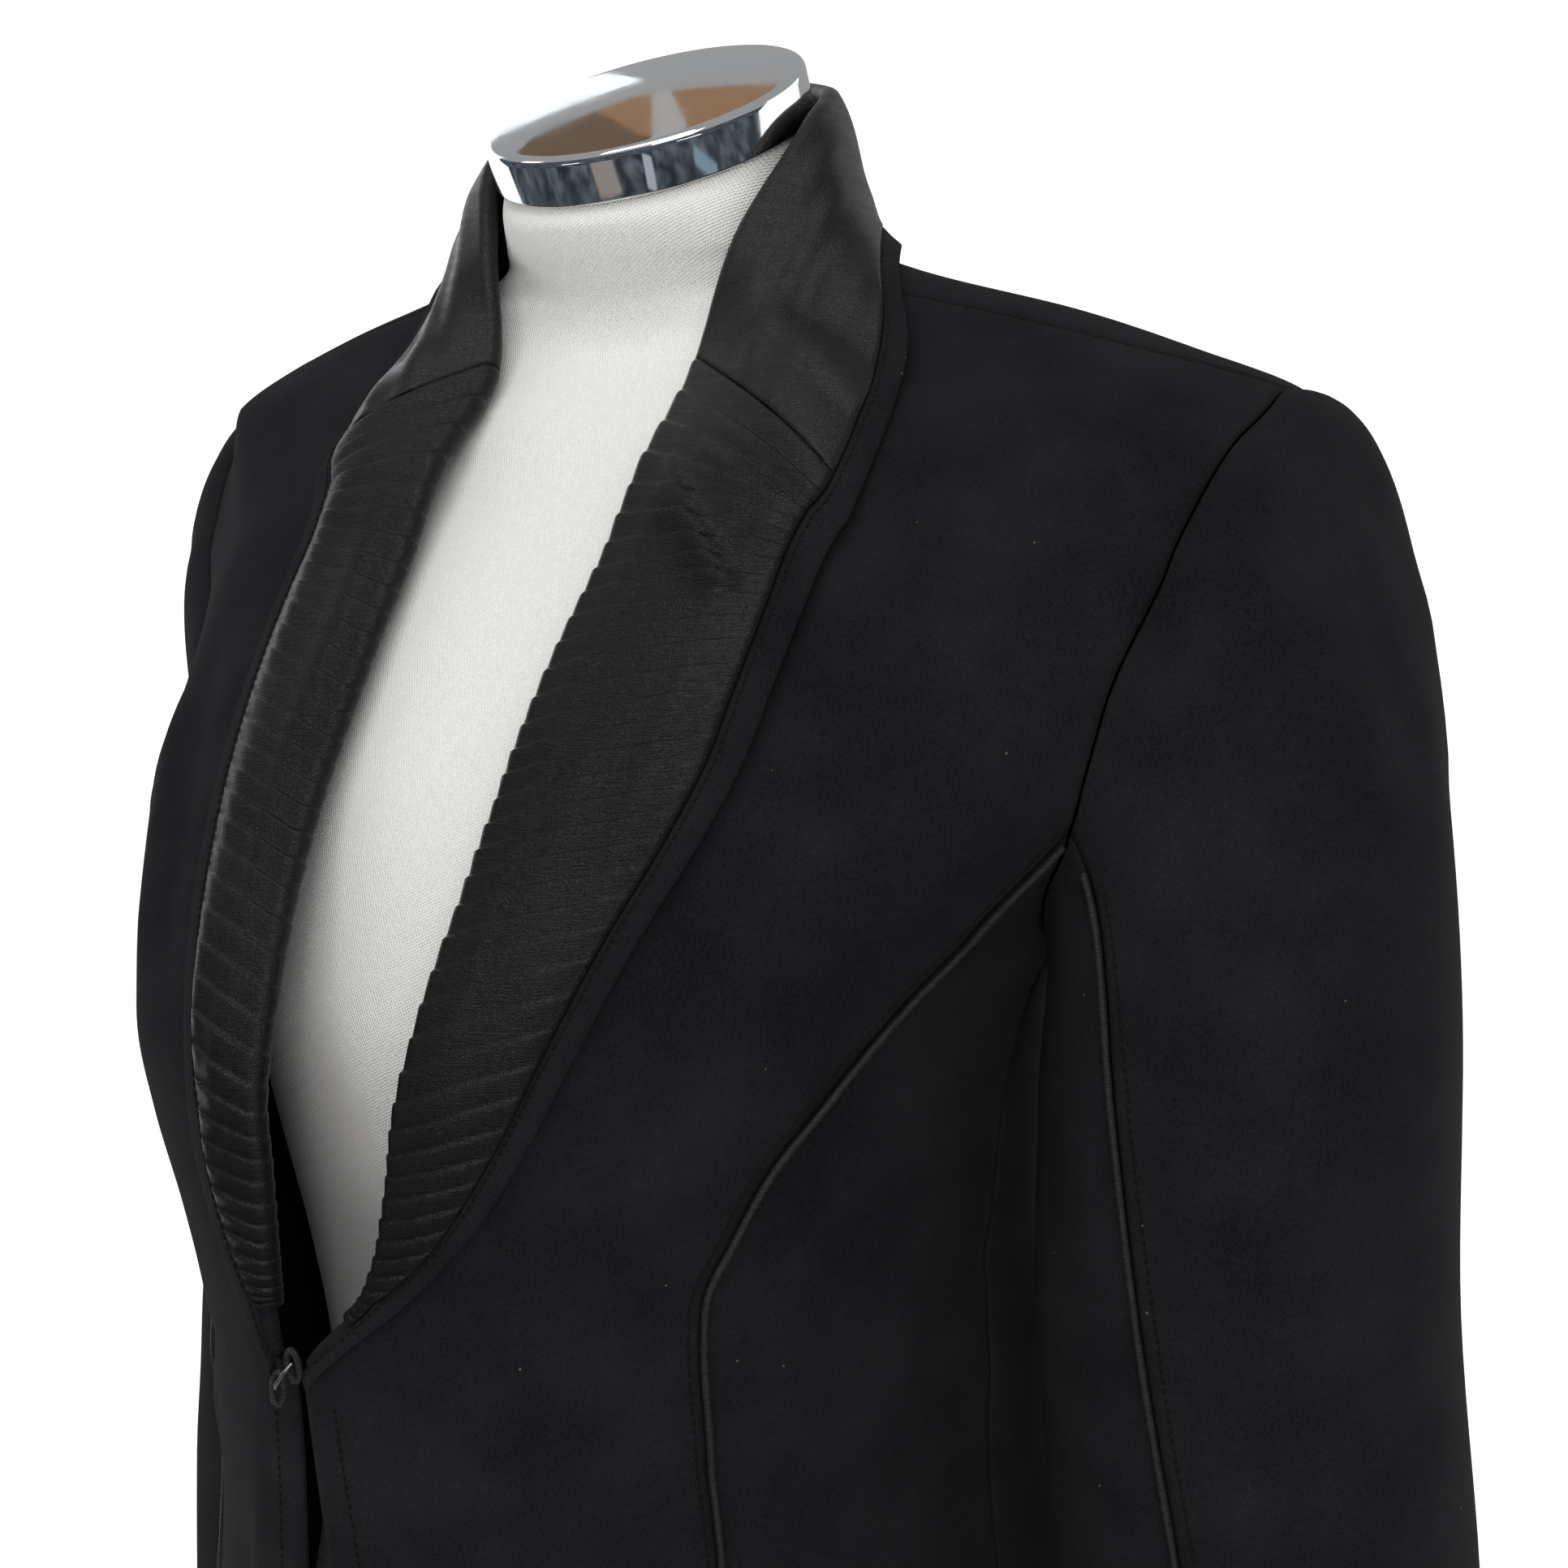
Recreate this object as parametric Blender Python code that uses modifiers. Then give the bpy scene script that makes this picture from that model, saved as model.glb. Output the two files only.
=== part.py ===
"""Blazer with tucked satin shawl lapels on a counter-top dress form. Metres, +Z up, front towards -Y.

Garment shapes are worked out round the neck, with z = 0 at the side of the neck, and placed on the stand last.
"""

import math

import bmesh
import bpy
import numpy as np
from mathutils import Matrix, Vector

NECK_SIDE_HEIGHT = 0.820
NECK_BEHIND_STAND = 0.050
HEM = -0.620
CUFF = -0.610

CLOTH = 0.0015
LEAF = 0.0013
SATIN = 0.0010
SEAM_GAP = 0.0003
SHOULDER_IN = 0.014
SHOULDER_BACK = 0.012
CHEST_FORWARD = 0.014
LAYER_GAP = 0.0003
ROLL_RADIUS = 0.0016
LAPEL_BULGE = 0.0045
BAND = 0.0105
FACING_INSIDE = 0.017
TUCKS = 36
TUCK_HEIGHT = 0.0011
ROLL_STEPS = 2
UPPER_COLUMNS = 21
LEAF_LIFT = 0.0013
LEG_END = 0.85
FACING_SINK = (0.0012, 0.0006)
SATIN_EASE = 0.0002
SLEEVE_EASE = 0.0005
NECK_AXIS_Y = 0.010
ARMHOLE_LOW = -0.205
ARMHOLE_RISE = 0.125
HEAD_SHARES = (0.0, 0.06, 0.17, 0.33, 0.54, 0.78)
PIPING_RADIUS = 0.0011
PIPING_LIFT = 0.0005
CORD_RADIUS = 0.0009
HOOK_RADIUS = 0.0006
SIDE_THETA = 92.0
SLEEVE_SWING = {"L": (0.0, 0.0), "R": (-0.006, 0.040)}

FORM_BOTTOM = -0.575
CAP_CENTRE = (0.0, 0.000, 0.060)
CAP_HEIGHT = 0.0165
CAP_TILT = math.radians(24.0)
BASE_HEIGHT = 0.0120

# Cloth torso. Columns: z, half width, centre y, depth in front, depth behind.
BODY = (
    (0.012, 0.062, 0.012, 0.034, 0.034),
    (0.000, 0.094, 0.020, 0.044, 0.040),
    (-0.013, 0.143, 0.027, 0.053, 0.046),
    (-0.026, 0.181, 0.030, 0.067, 0.056),
    (-0.039, 0.215, 0.029, 0.083, 0.075),
    (-0.054, 0.2245, 0.025, 0.095, 0.086),
    (-0.085, 0.228, 0.020, 0.116, 0.094),
    (-0.110, 0.218, 0.017, 0.135, 0.098),
    (-0.147, 0.201, 0.012, 0.157, 0.100),
    (-0.161, 0.192, 0.010, 0.165, 0.100),
    (-0.190, 0.166, 0.003, 0.180, 0.103),
    (-0.220, 0.145, -0.010, 0.182, 0.108),
    (-0.250, 0.137, -0.020, 0.172, 0.108),
    (-0.280, 0.134, -0.026, 0.161, 0.107),
    (-0.320, 0.131, -0.030, 0.154, 0.105),
    (-0.380, 0.131, -0.033, 0.152, 0.108),
    (-0.420, 0.134, -0.034, 0.155, 0.113),
    (-0.500, 0.150, -0.036, 0.160, 0.128),
    (-0.570, 0.163, -0.038, 0.165, 0.138),
    (-0.640, 0.174, -0.038, 0.168, 0.144),
)

# Extra depth at the front edges. Columns: z, depth.
PROW = ((-0.640, 0.006), (-0.450, 0.008), (-0.310, 0.014), (-0.200, 0.0), (0.012, 0.0))
PROW_ANGLE = 26.0
# Extra room over the back of the waist. Columns: z, amount.
FULLNESS = (
    (-0.640, 0.0120),
    (-0.500, 0.0200),
    (-0.420, 0.0225),
    (-0.360, 0.0195),
    (-0.300, 0.0145),
    (-0.250, 0.0090),
    (-0.205, 0.0010),
    (-0.190, 0.0),
    (0.012, 0.0),
)
FULLEST_ANGLE = 115.0
FULLNESS_ANGLE = 22.0

# Left lapel rows from the closure up. Columns: z and angle of the roll, z and angle of the edge, leg under it.
LAPEL_LEFT = (
    (-0.3045, 1.2, -0.3110, 2.2, 0.0030),
    (-0.2985, 3.4, -0.3035, 5.2, 0.0045),
    (-0.2900, 7.0, -0.2930, 10.2, 0.0065),
    (-0.2830, 9.6, -0.2810, 15.8, 0.0090),
    (-0.2680, 12.0, -0.2600, 23.2, 0.0110),
    (-0.2480, 13.5, -0.2380, 28.4, 0.0120),
    (-0.2260, 14.2, -0.2120, 31.0, 0.0120),
    (-0.1990, 13.5, -0.1840, 30.9, 0.0120),
    (-0.1730, 12.4, -0.1600, 30.6, 0.0120),
    (-0.1510, 11.4, -0.1380, 30.8, 0.0120),
    (-0.1300, 11.0, -0.1180, 30.4, 0.0120),
    (-0.1065, 11.0, -0.0980, 29.7, 0.0120),
    (-0.0848, 11.1, -0.0850, 29.5, 0.0120),
    (-0.0580, 11.3, -0.0775, 30.0, 0.0120),
    (-0.0286, 13.1, -0.0700, 30.6, 0.0120),
)
# The right lapel sits nearer the middle, because the blazer hangs slightly turned on the form.
LAPEL_RIGHT = (
    (-0.3045, 1.2, -0.3110, 2.2, 0.0030),
    (-0.2985, 1.8, -0.3020, 4.6, 0.0045),
    (-0.2900, 2.0, -0.2920, 7.6, 0.0065),
    (-0.2830, 2.0, -0.2810, 9.8, 0.0080),
    (-0.2680, 2.0, -0.2620, 12.4, 0.0090),
    (-0.2480, 2.2, -0.2420, 14.4, 0.0100),
    (-0.2260, 3.0, -0.2160, 16.0, 0.0110),
    (-0.1990, 4.5, -0.1880, 18.0, 0.0120),
    (-0.1730, 6.1, -0.1630, 19.4, 0.0120),
    (-0.1510, 6.9, -0.1410, 20.0, 0.0120),
    (-0.1300, 6.9, -0.1200, 20.0, 0.0120),
    (-0.1065, 7.0, -0.0990, 19.8, 0.0120),
    (-0.0848, 7.4, -0.0840, 19.8, 0.0120),
    (-0.0580, 8.4, -0.0720, 20.4, 0.0120),
    (-0.0286, 10.9, -0.0600, 21.6, 0.0120),
)
CLOSURE_ROW = 0
TUCK_FIRST_ROW = 3
COLLAR_ROW = len(LAPEL_LEFT) - 1
FINE_ROW = TUCK_FIRST_ROW + (COLLAR_ROW - TUCK_FIRST_ROW) * 7 / 9

# Collar rows to the centre back. Columns: roll x y z, edge angle, z and lift, seam angle and z, outward x y z.
COLLAR_LEFT = (
    (0.0520, -0.0230, 0.0100, 35.0, -0.0320, 0.003, 40.0, -0.006, 0.72, -0.50, 0.48),
    (0.0620, 0.0000, 0.0420, 56.0, -0.0060, 0.004, 84.0, 0.008, 0.90, -0.18, 0.40),
    (0.0570, 0.0240, 0.0550, 103.0, 0.0040, 0.004, 108.0, 0.010, 0.88, 0.34, 0.33),
    (0.0455, 0.0425, 0.0600, 137.0, -0.0005, 0.004, 130.0, 0.008, 0.72, 0.63, 0.29),
    (0.0255, 0.0580, 0.0640, 163.0, -0.0190, 0.004, 156.0, 0.003, 0.40, 0.88, 0.26),
    (0.0000, 0.0635, 0.0650, 180.0, -0.0260, 0.004, 180.0, 0.001, 0.00, 0.97, 0.24),
)
COLLAR_RIGHT = (
    (0.0500, -0.0230, 0.0120, 27.5, -0.0230, 0.004, 40.0, -0.006, 0.72, -0.50, 0.48),
    (0.0620, 0.0000, 0.0420, 60.0, 0.0000, 0.004, 84.0, 0.008, 0.90, -0.18, 0.40),
    *COLLAR_LEFT[2:],
)
NECK_SIDE_ROW = COLLAR_ROW + 1.25
CENTRE_BACK_ROW = COLLAR_ROW + len(COLLAR_LEFT)

# Armhole from the front notch over the shoulder to the back notch. Columns: share, angle, z.
ARMHOLE_TOP = (
    (0.00, 67.8, -0.1634),
    (0.07, 64.3, -0.1450),
    (0.18, 61.5, -0.1120),
    (0.29, 61.6, -0.0800),
    (0.37, 66.9, -0.0566),
    (0.44, 76.8, -0.0425),
    (0.50, 86.0, -0.0388),
    (0.57, 99.0, -0.0440),
    (0.65, 109.0, -0.0580),
    (0.74, 115.0, -0.0800),
    (0.84, 118.0, -0.1100),
    (0.93, 118.0, -0.1400),
    (1.00, 115.0, -0.1650),
)
# Armhole under the arm, from the back notch to the front notch. Columns: share, angle, z.
ARMHOLE_UNDER = (
    (0.00, 115.0, -0.1650),
    (0.25, 108.0, -0.1880),
    (0.45, 99.0, -0.2010),
    (0.58, SIDE_THETA, -0.2050),
    (0.72, 83.0, -0.2010),
    (0.87, 74.5, -0.1850),
    (1.00, 67.8, -0.1634),
)
SHOULDER_END = 0.50
SHOULDER_COLUMNS = 8
TOP_SHARES = (0.0, 0.09, 0.18, 0.27, 0.36, 0.43, SHOULDER_END, 0.60, 0.70, 0.80, 0.90, 1.0)
SHOULDER_INDEX = TOP_SHARES.index(SHOULDER_END)
SIDE_SHARE = 0.58
UNDER_SHARES = (0.0, 0.20, 0.40, SIDE_SHARE, 0.70, 0.80, 0.90, 1.0)
SEAM_HEIGHTS = (
    -0.1634,
    -0.1850,
    -0.2050,
    -0.2220,
    -0.2377,
    -0.2528,
    -0.2660,
    -0.2757,
    -0.2885,
    -0.3036,
    -0.3400,
    -0.3800,
    -0.4300,
    -0.4900,
    -0.5550,
    HEM,
)

# Princess seam. Columns: z, angle.
PRINCESS = (
    (HEM, 48.0),
    (-0.5000, 49.0),
    (-0.4200, 49.5),
    (-0.3765, 49.1),
    (-0.3421, 48.2),
    (-0.3036, 47.5),
    (-0.2885, 48.0),
    (-0.2757, 50.6),
    (-0.2528, 56.0),
    (-0.2377, 60.8),
    (-0.2223, 64.7),
    (-0.2080, 66.7),
    (-0.1948, 67.8),
    (-0.1787, 67.8),
    (-0.1634, 67.8),
)
# Front edge under the closure. Columns: z, x.
FRONT_EDGE = ((HEM, 0.0130), (-0.500, 0.0080), (-0.370, 0.0045), (-0.330, 0.0018), (-0.308, 0.0012))

# Sleeve rings. Columns: z, centre x, centre y, half width, half depth, front seam angle.
SLEEVE = (
    (-0.250, 0.2125, 0.000, 0.0640, 0.063, -17.0),
    (-0.310, 0.2130, -0.002, 0.0655, 0.062, -9.0),
    (-0.410, 0.2230, -0.008, 0.0670, 0.060, -1.0),
    (-0.500, 0.2300, -0.020, 0.0600, 0.056, 2.0),
    (CUFF, 0.2350, -0.036, 0.0490, 0.052, 3.0),
)
BACK_SEAM_ANGLE = 160.0

# Dress form. Columns: z, tilt, half width, centre y, depth in front, depth behind.
FORM = (
    (FORM_BOTTOM, 0.0, 0.138, -0.036, 0.098, 0.108),
    (-0.560, 0.0, 0.146, -0.036, 0.106, 0.116),
    (-0.500, 0.0, 0.137, -0.034, 0.106, 0.110),
    (-0.420, 0.0, 0.119, -0.032, 0.100, 0.094),
    (-0.360, 0.0, 0.110, -0.029, 0.104, 0.086),
    (-0.310, 0.0, 0.113, -0.023, 0.120, 0.084),
    (-0.260, 0.0, 0.121, -0.015, 0.140, 0.084),
    (-0.210, 0.0, 0.135, -0.004, 0.156, 0.084),
    (-0.160, 0.0, 0.150, 0.006, 0.148, 0.082),
    (-0.120, 0.0, 0.159, 0.013, 0.129, 0.080),
    (-0.090, 0.0, 0.165, 0.019, 0.110, 0.079),
    (-0.065, 0.0, 0.169, 0.023, 0.089, 0.077),
    (-0.045, 0.0, 0.166, 0.027, 0.076, 0.071),
    (-0.030, 0.0, 0.161, 0.0295, 0.061, 0.054),
    (-0.022, 0.0, 0.150, 0.0290, 0.053, 0.047),
    (-0.0155, 0.0, 0.134, 0.0275, 0.048, 0.042),
    (-0.009, 0.0, 0.114, 0.0245, 0.044, 0.038),
    (-0.002, 1.0, 0.084, 0.0190, 0.039, 0.032),
    (0.006, 4.0, 0.061, 0.0090, 0.035, 0.031),
    (0.015, 9.0, 0.0555, 0.0050, 0.039, 0.036),
    (0.030, 17.0, 0.0530, 0.0040, 0.047, 0.045),
    (0.0446, 24.0, 0.0520, 0.0066, 0.052, 0.052),
)
FORM_SIDES = 28

# Turned pieces, from the axis round to the axis. Columns: radius, height.
STAND_BASE = (
    (0.0, 0.0),
    (0.112, 0.0),
    (0.115, 0.002),
    (0.115, 0.005),
    (0.110, 0.008),
    (0.030, BASE_HEIGHT),
    (0.0, BASE_HEIGHT),
)
STAND_POLE_FOOT = ((0.0, 0.0), (0.020, 0.0), (0.020, 0.006), (0.014, 0.012))
STAND_POLE_RADIUS = 0.014
NECK_CAP = (
    (0.0, 0.0),
    (0.054, 0.0),
    (0.055, 0.001),
    (0.055, 0.0125),
    (0.0535, 0.0150),
    (0.050, 0.0162),
    (0.030, 0.0175),
    (0.0, 0.0180),
)

# Cord loops at the closure. Columns: side, centre x and z, half width, half height, rise of the middle.
CORD_LOOPS = (("L", 0.0035, -0.3035, 0.0022, 0.0050, -0.0006), ("R", -0.0030, -0.3120, 0.0022, 0.0048, 0.0006))
CORD_STANDS_OUT = 0.0052
# The hook that joins them. Columns: x, distance in front of the edge, z.
HOOK = (
    (0.0030, 0.0052, -0.3030),
    (0.0016, 0.0078, -0.3056),
    (0.0002, 0.0084, -0.3080),
    (-0.0012, 0.0078, -0.3100),
    (-0.0026, 0.0052, -0.3122),
)

LINEN = (0.86, 0.85, 0.81)
CHROME = (0.75, 0.76, 0.78)
WOOL = (0.016, 0.016, 0.017)
SATIN_BLACK = (0.028, 0.026, 0.027)
STEEL = (0.10, 0.10, 0.11)


def at_key(table, key):
    """The table's other columns at this value of its first, with no overshoot."""
    rows = np.array(sorted(table), float)
    x = rows[:, 0]
    key = np.asarray(key, float)
    low = np.clip(np.searchsorted(x, key, side="right") - 1, 0, len(x) - 2)
    step = np.diff(x)
    slope = np.diff(rows[:, 1:], axis=0) / step[:, None]
    ends = np.empty_like(rows[:, 1:])
    ends[0] = slope[0]
    ends[-1] = slope[-1]
    share = (step[:-1] / (step[:-1] + step[1:]))[:, None]
    ends[1:-1] = slope[:-1] * (1 - share) + slope[1:] * share
    ends[1:-1][slope[:-1] * slope[1:] <= 0] = 0
    t = ((key - x[low]) / step[low])[..., None]
    h = step[low][..., None]
    start = (2 * t**3 - 3 * t**2 + 1) * rows[low, 1:] + (t**3 - 2 * t**2 + t) * h * ends[low]
    finish = (3 * t**2 - 2 * t**3) * rows[low + 1, 1:] + (t**3 - t**2) * h * ends[low + 1]
    return start + finish


def unit(vectors):
    return vectors / np.maximum(np.linalg.norm(vectors, axis=-1, keepdims=True), 1e-12)


def body_skin(theta, z):
    row = at_key(BODY, z)
    angle = np.radians(theta)
    cosine = np.cos(angle)
    depth = np.where(cosine > 0, row[..., 2], row[..., 3])
    prow = at_key(PROW, z)[..., 0] * np.exp(-((theta / PROW_ANGLE) ** 2))
    room = at_key(FULLNESS, z)[..., 0] * np.exp(-(((theta - FULLEST_ANGLE) / FULLNESS_ANGLE) ** 2))
    x = (row[..., 0] + room) * np.sin(angle)
    return np.stack([x, row[..., 1] - (depth + room) * cosine - prow, z], -1)


def body_normal(theta, z):
    across = body_skin(theta + 0.25, z) - body_skin(theta - 0.25, z)
    upward = body_skin(theta, z + 0.0005) - body_skin(theta, z - 0.0005)
    return unit(np.cross(across, upward))


def body(theta, z, out=0.0):
    """Points of the left half of the cloth torso. Angle 0 is the centre front and 180 the centre back."""
    theta, z = np.broadcast_arrays(np.asarray(theta, float), np.asarray(z, float))
    return body_skin(theta, z) + np.asarray(out)[..., None] * body_normal(theta, z)


def theta_at_x(x, z):
    return np.degrees(np.arcsin(x / at_key(BODY, z)[..., 0]))


def steps_through(stops, counts):
    """Values that pass through the stops, with this many steps between each pair."""
    parts = [np.linspace(a, b, n + 1)[:-1] for a, b, n in zip(stops, stops[1:], counts)]
    return np.concatenate(parts + [[stops[-1]]])


KEY_ROWS = steps_through(
    (CLOSURE_ROW, TUCK_FIRST_ROW, FINE_ROW, COLLAR_ROW, NECK_SIDE_ROW, CENTRE_BACK_ROW), (2, 7, 4, 3, 5)
)


def shawl_rows(lapel, collar):
    """Each row's roll centre, edge, seam, outward direction and facing length, from closure to centre back."""
    z_roll, t_roll, z_edge, t_edge, leg = np.array(lapel).T
    width = at_key(BODY, z_roll)[:, 0]
    inward = np.degrees((ROLL_RADIUS + LEAF / 2 + LAYER_GAP + SATIN) / width)
    roll = body(t_roll + inward, z_roll, ROLL_RADIUS - CLOTH / 2)
    edge = body(t_edge, z_edge, LEAF + LEAF_LIFT)
    seam_theta = t_roll + inward + np.degrees(leg / width)
    outward = body_normal(t_roll, z_roll)
    facing = np.where(z_roll < -0.29, 0.004, FACING_INSIDE)
    front = np.column_stack([roll, edge, seam_theta, z_roll, outward, facing])
    roll_x, roll_y, roll_z, edge_theta, edge_z, lift, theta, z, *outward = np.array(collar).T
    roll = np.column_stack([roll_x, roll_y, roll_z])
    edge = body(edge_theta, edge_z, lift)
    none = np.zeros(len(collar))
    behind = np.column_stack([roll, edge, theta, z, unit(np.column_stack(outward)), none])
    rows = np.vstack([front, behind])
    return tuple(map(tuple, np.column_stack([np.arange(len(rows)), rows])))


SHAWL = {"L": shawl_rows(LAPEL_LEFT, COLLAR_LEFT), "R": shawl_rows(LAPEL_RIGHT, COLLAR_RIGHT)}


def neck_seam(side, row):
    """Angle and z of the seam that joins the shawl to the body panels."""
    found = at_key(SHAWL[side], row)
    return found[..., 6], found[..., 7]


def bezier(points, t):
    weights = np.stack([(1 - t) ** 3, 3 * t * (1 - t) ** 2, 3 * t**2 * (1 - t), t**3], -1)
    return np.einsum("tk,rkc->rtc", weights, np.stack(points, 1))


def leg_curve(start, start_out, end, end_out, lift, t):
    """A strip's section from the roll to its end, which leaves both along the surface."""
    span = end - start
    length = np.linalg.norm(span, axis=1, keepdims=True)
    leave = unit(span - start_out * np.sum(span * start_out, axis=1, keepdims=True))
    arrive = unit(span - end_out * np.sum(span * end_out, axis=1, keepdims=True))
    second = start + leave * length / 3 + start_out * lift
    third = end - arrive * length / 3 + end_out * lift
    return bezier((start, second, third, end), t)


def shawl(side, row):
    """Middle surface of the folded leaf: inside facing, lower leg, roll, then the columns of the upper leg."""
    found = at_key(SHAWL[side], row)
    centre, edge, out = found[:, 0:3], found[:, 3:6], unit(found[:, 8:11])
    theta, z, facing = found[:, 6], found[:, 7], found[:, 11]
    seam = body(theta, z, -CLOTH / 2)
    seam_out = body_normal(theta, z)
    inside = body(theta + np.degrees(facing / at_key(BODY, z)[:, 0]), z, -CLOTH / 2)
    inward = unit(edge - centre) + unit(seam - centre)
    inward = unit(inward - out * np.sum(inward * out, axis=1, keepdims=True))
    edge_theta = np.degrees(np.arctan2(edge[:, 0], NECK_AXIS_Y - edge[:, 1]))
    edge_out = body_normal(np.clip(edge_theta, 1.0, 179.0), np.minimum(edge[:, 2], -0.006))
    size = np.linalg.norm(edge - centre, axis=1, keepdims=True)
    lift = LAPEL_BULGE * np.clip(size / 0.05, 0.0, 1.0)
    top = leg_curve(centre + out * ROLL_RADIUS, out, edge, edge_out, lift, np.linspace(0, 1, UPPER_COLUMNS))
    below = leg_curve(centre - out * ROLL_RADIUS, out, seam, seam_out, 0.0, np.array([0.0, LEG_END]))
    angles = np.linspace(0, np.pi, ROLL_STEPS + 2)[1:-1]
    roll = [centre + ROLL_RADIUS * (out * math.cos(a) - inward * math.sin(a)) for a in angles]
    inside = np.where(facing[:, None] > 0.001, inside, below[:, 1] * 1.02 - below[:, 0] * 0.02)
    path = np.concatenate([inside[:, None], below[:, ::-1], np.stack(roll[::-1], 1), top], axis=1)
    normals = np.stack([strip_normal(path, j) for j in range(path.shape[1])], axis=1)
    return path, normals, size[:, 0]


def strip_normal(path, j):
    along = np.gradient(path, axis=0)[:, j]
    before = max(j - 1, 0)
    after = min(j + 1, path.shape[1] - 1)
    return unit(np.cross(path[:, after] - path[:, before], along))


def upper_leg(path, normals, first, share):
    """Points and outward directions of the upper leg at this share of it, one for each row."""
    where = np.clip(share, 0.0, 1.0) * (UPPER_COLUMNS - 1)
    low = np.minimum(where.astype(int), UPPER_COLUMNS - 2)
    part = (where - low)[:, None]
    index = np.arange(len(path))
    points = path[index, first + low] * (1 - part) + path[index, first + low + 1] * part
    ways = normals[index, first + low] * (1 - part) + normals[index, first + low + 1] * part
    return points, unit(ways)


def band_share(size):
    return np.clip(1 - BAND / np.maximum(size, BAND * 1.2), 0.12, 1.0)


def inset(grid, amount):
    """Draws the four edges of a grid in, which leaves the seam gap between neighbours."""
    moved = grid.copy()
    for edge, inner in ((0, 1), (-1, -2)):
        moved[edge] += unit(grid[inner] - grid[edge]) * amount
    whole = moved.copy()
    for edge, inner in ((0, 1), (-1, -2)):
        moved[:, edge] += unit(whole[:, inner] - whole[:, edge]) * amount
    return moved


def coons(left, right, top, bottom):
    """A grid between four edges. Left and right run down, top and bottom run across."""
    down = np.linspace(0, 1, len(left))[:, None, None]
    over = np.linspace(0, 1, len(top))[None, :, None]
    ruled = left[:, None] * (1 - over) + right[:, None] * over
    hung = top[None] * (1 - down) + bottom[None] * down
    above = top[0] * (1 - over) + top[-1] * over
    beneath = bottom[0] * (1 - over) + bottom[-1] * over
    return ruled + hung - above * (1 - down) - beneath * down


def placed(points):
    return points + np.array([0.0, NECK_BEHIND_STAND, NECK_SIDE_HEIGHT])


def settled(points):
    """The right half hangs unevenly: its shoulder sits in and back, and its chest stands forward."""
    moved = points.copy()
    high = np.clip((points[:, 2] + 0.20) / 0.07, 0.0, 1.0) * np.clip((-0.04 - points[:, 2]) / 0.04, 0.0, 1.0)
    share = np.clip((points[:, 0] - 0.16 + 0.06 * high) / (0.06 + 0.03 * high), 0.0, 1.0)
    share = share * share * (3 - 2 * share)
    chest = ((points[:, 0] - 0.10) / 0.055) ** 2 + ((points[:, 2] + 0.225) / 0.075) ** 2
    moved[:, 0] -= SHOULDER_IN * share
    moved[:, 1] += SHOULDER_BACK * share - CHEST_FORWARD * np.exp(-chest)
    moved[:, 0] *= -1
    return moved


def add_material(name, colour, metallic, roughness):
    material = bpy.data.materials.new(name)
    material.use_nodes = True
    shader = material.node_tree.nodes["Principled BSDF"]
    shader.inputs["Base Color"].default_value = (*colour, 1.0)
    shader.inputs["Metallic"].default_value = metallic
    shader.inputs["Roughness"].default_value = roughness
    return material


def add_mesh(name, points, faces, look):
    mesh = bpy.data.meshes.new(name)
    mesh.from_pydata([tuple(point) for point in points], [], faces)
    mesh.validate()
    work = bmesh.new()
    work.from_mesh(mesh)
    bmesh.ops.recalc_face_normals(work, faces=work.faces)
    work.to_mesh(mesh)
    work.free()
    made = bpy.data.objects.new(name, mesh)
    mesh.materials.append(add_material(name, *look))
    bpy.data.collections["blazer"].objects.link(made)
    return made


def add_sheet(name, outer, inner, look, mirrored=False):
    """A closed wall between two grids of the same size."""
    rows, columns = outer.shape[:2]
    points = np.concatenate([outer.reshape(-1, 3), inner.reshape(-1, 3)])
    points = placed(settled(points) if mirrored else points)
    index = np.arange(rows * columns).reshape(rows, columns)
    back = index + rows * columns
    falling = np.linalg.norm(outer[1:, 1:] - outer[:-1, :-1], axis=-1)
    rising = np.linalg.norm(outer[1:, :-1] - outer[:-1, 1:], axis=-1)
    faces = []
    for i in range(rows - 1):
        for j in range(columns - 1):
            a, b, c, d = (i, j), (i, j + 1), (i + 1, j + 1), (i + 1, j)
            halves = ((a, b, c), (a, c, d)) if falling[i, j] < rising[i, j] else ((a, b, d), (b, c, d))
            for corners in halves:
                faces.append([index[corner] for corner in corners])
                faces.append([back[corner] for corner in corners[::-1]])
    rim = [*index[0], *index[1:, -1], *index[-1, -2::-1], *index[-2:0:-1, 0]]
    for a, b in zip(rim, rim[1:] + rim[:1]):
        faces.append((a, a + rows * columns, b + rows * columns, b))
    return add_mesh(name, points, [tuple(map(int, face)) for face in faces], look)


def add_cord(name, points, radius, look, mirrored=False):
    points = np.asarray(points, float)
    points = placed(settled(points) if mirrored else points)
    curve = bpy.data.curves.new(name, "CURVE")
    curve.dimensions = "3D"
    curve.bevel_depth = radius
    curve.bevel_resolution = 2
    curve.use_fill_caps = True
    spline = curve.splines.new("POLY")
    spline.points.add(len(points) - 1)
    spline.points.foreach_set("co", np.column_stack([points, np.ones(len(points))]).ravel())
    curve.materials.append(add_material(name, *look))
    made = bpy.data.objects.new(name, curve)
    bpy.data.collections["blazer"].objects.link(made)
    return made


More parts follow.
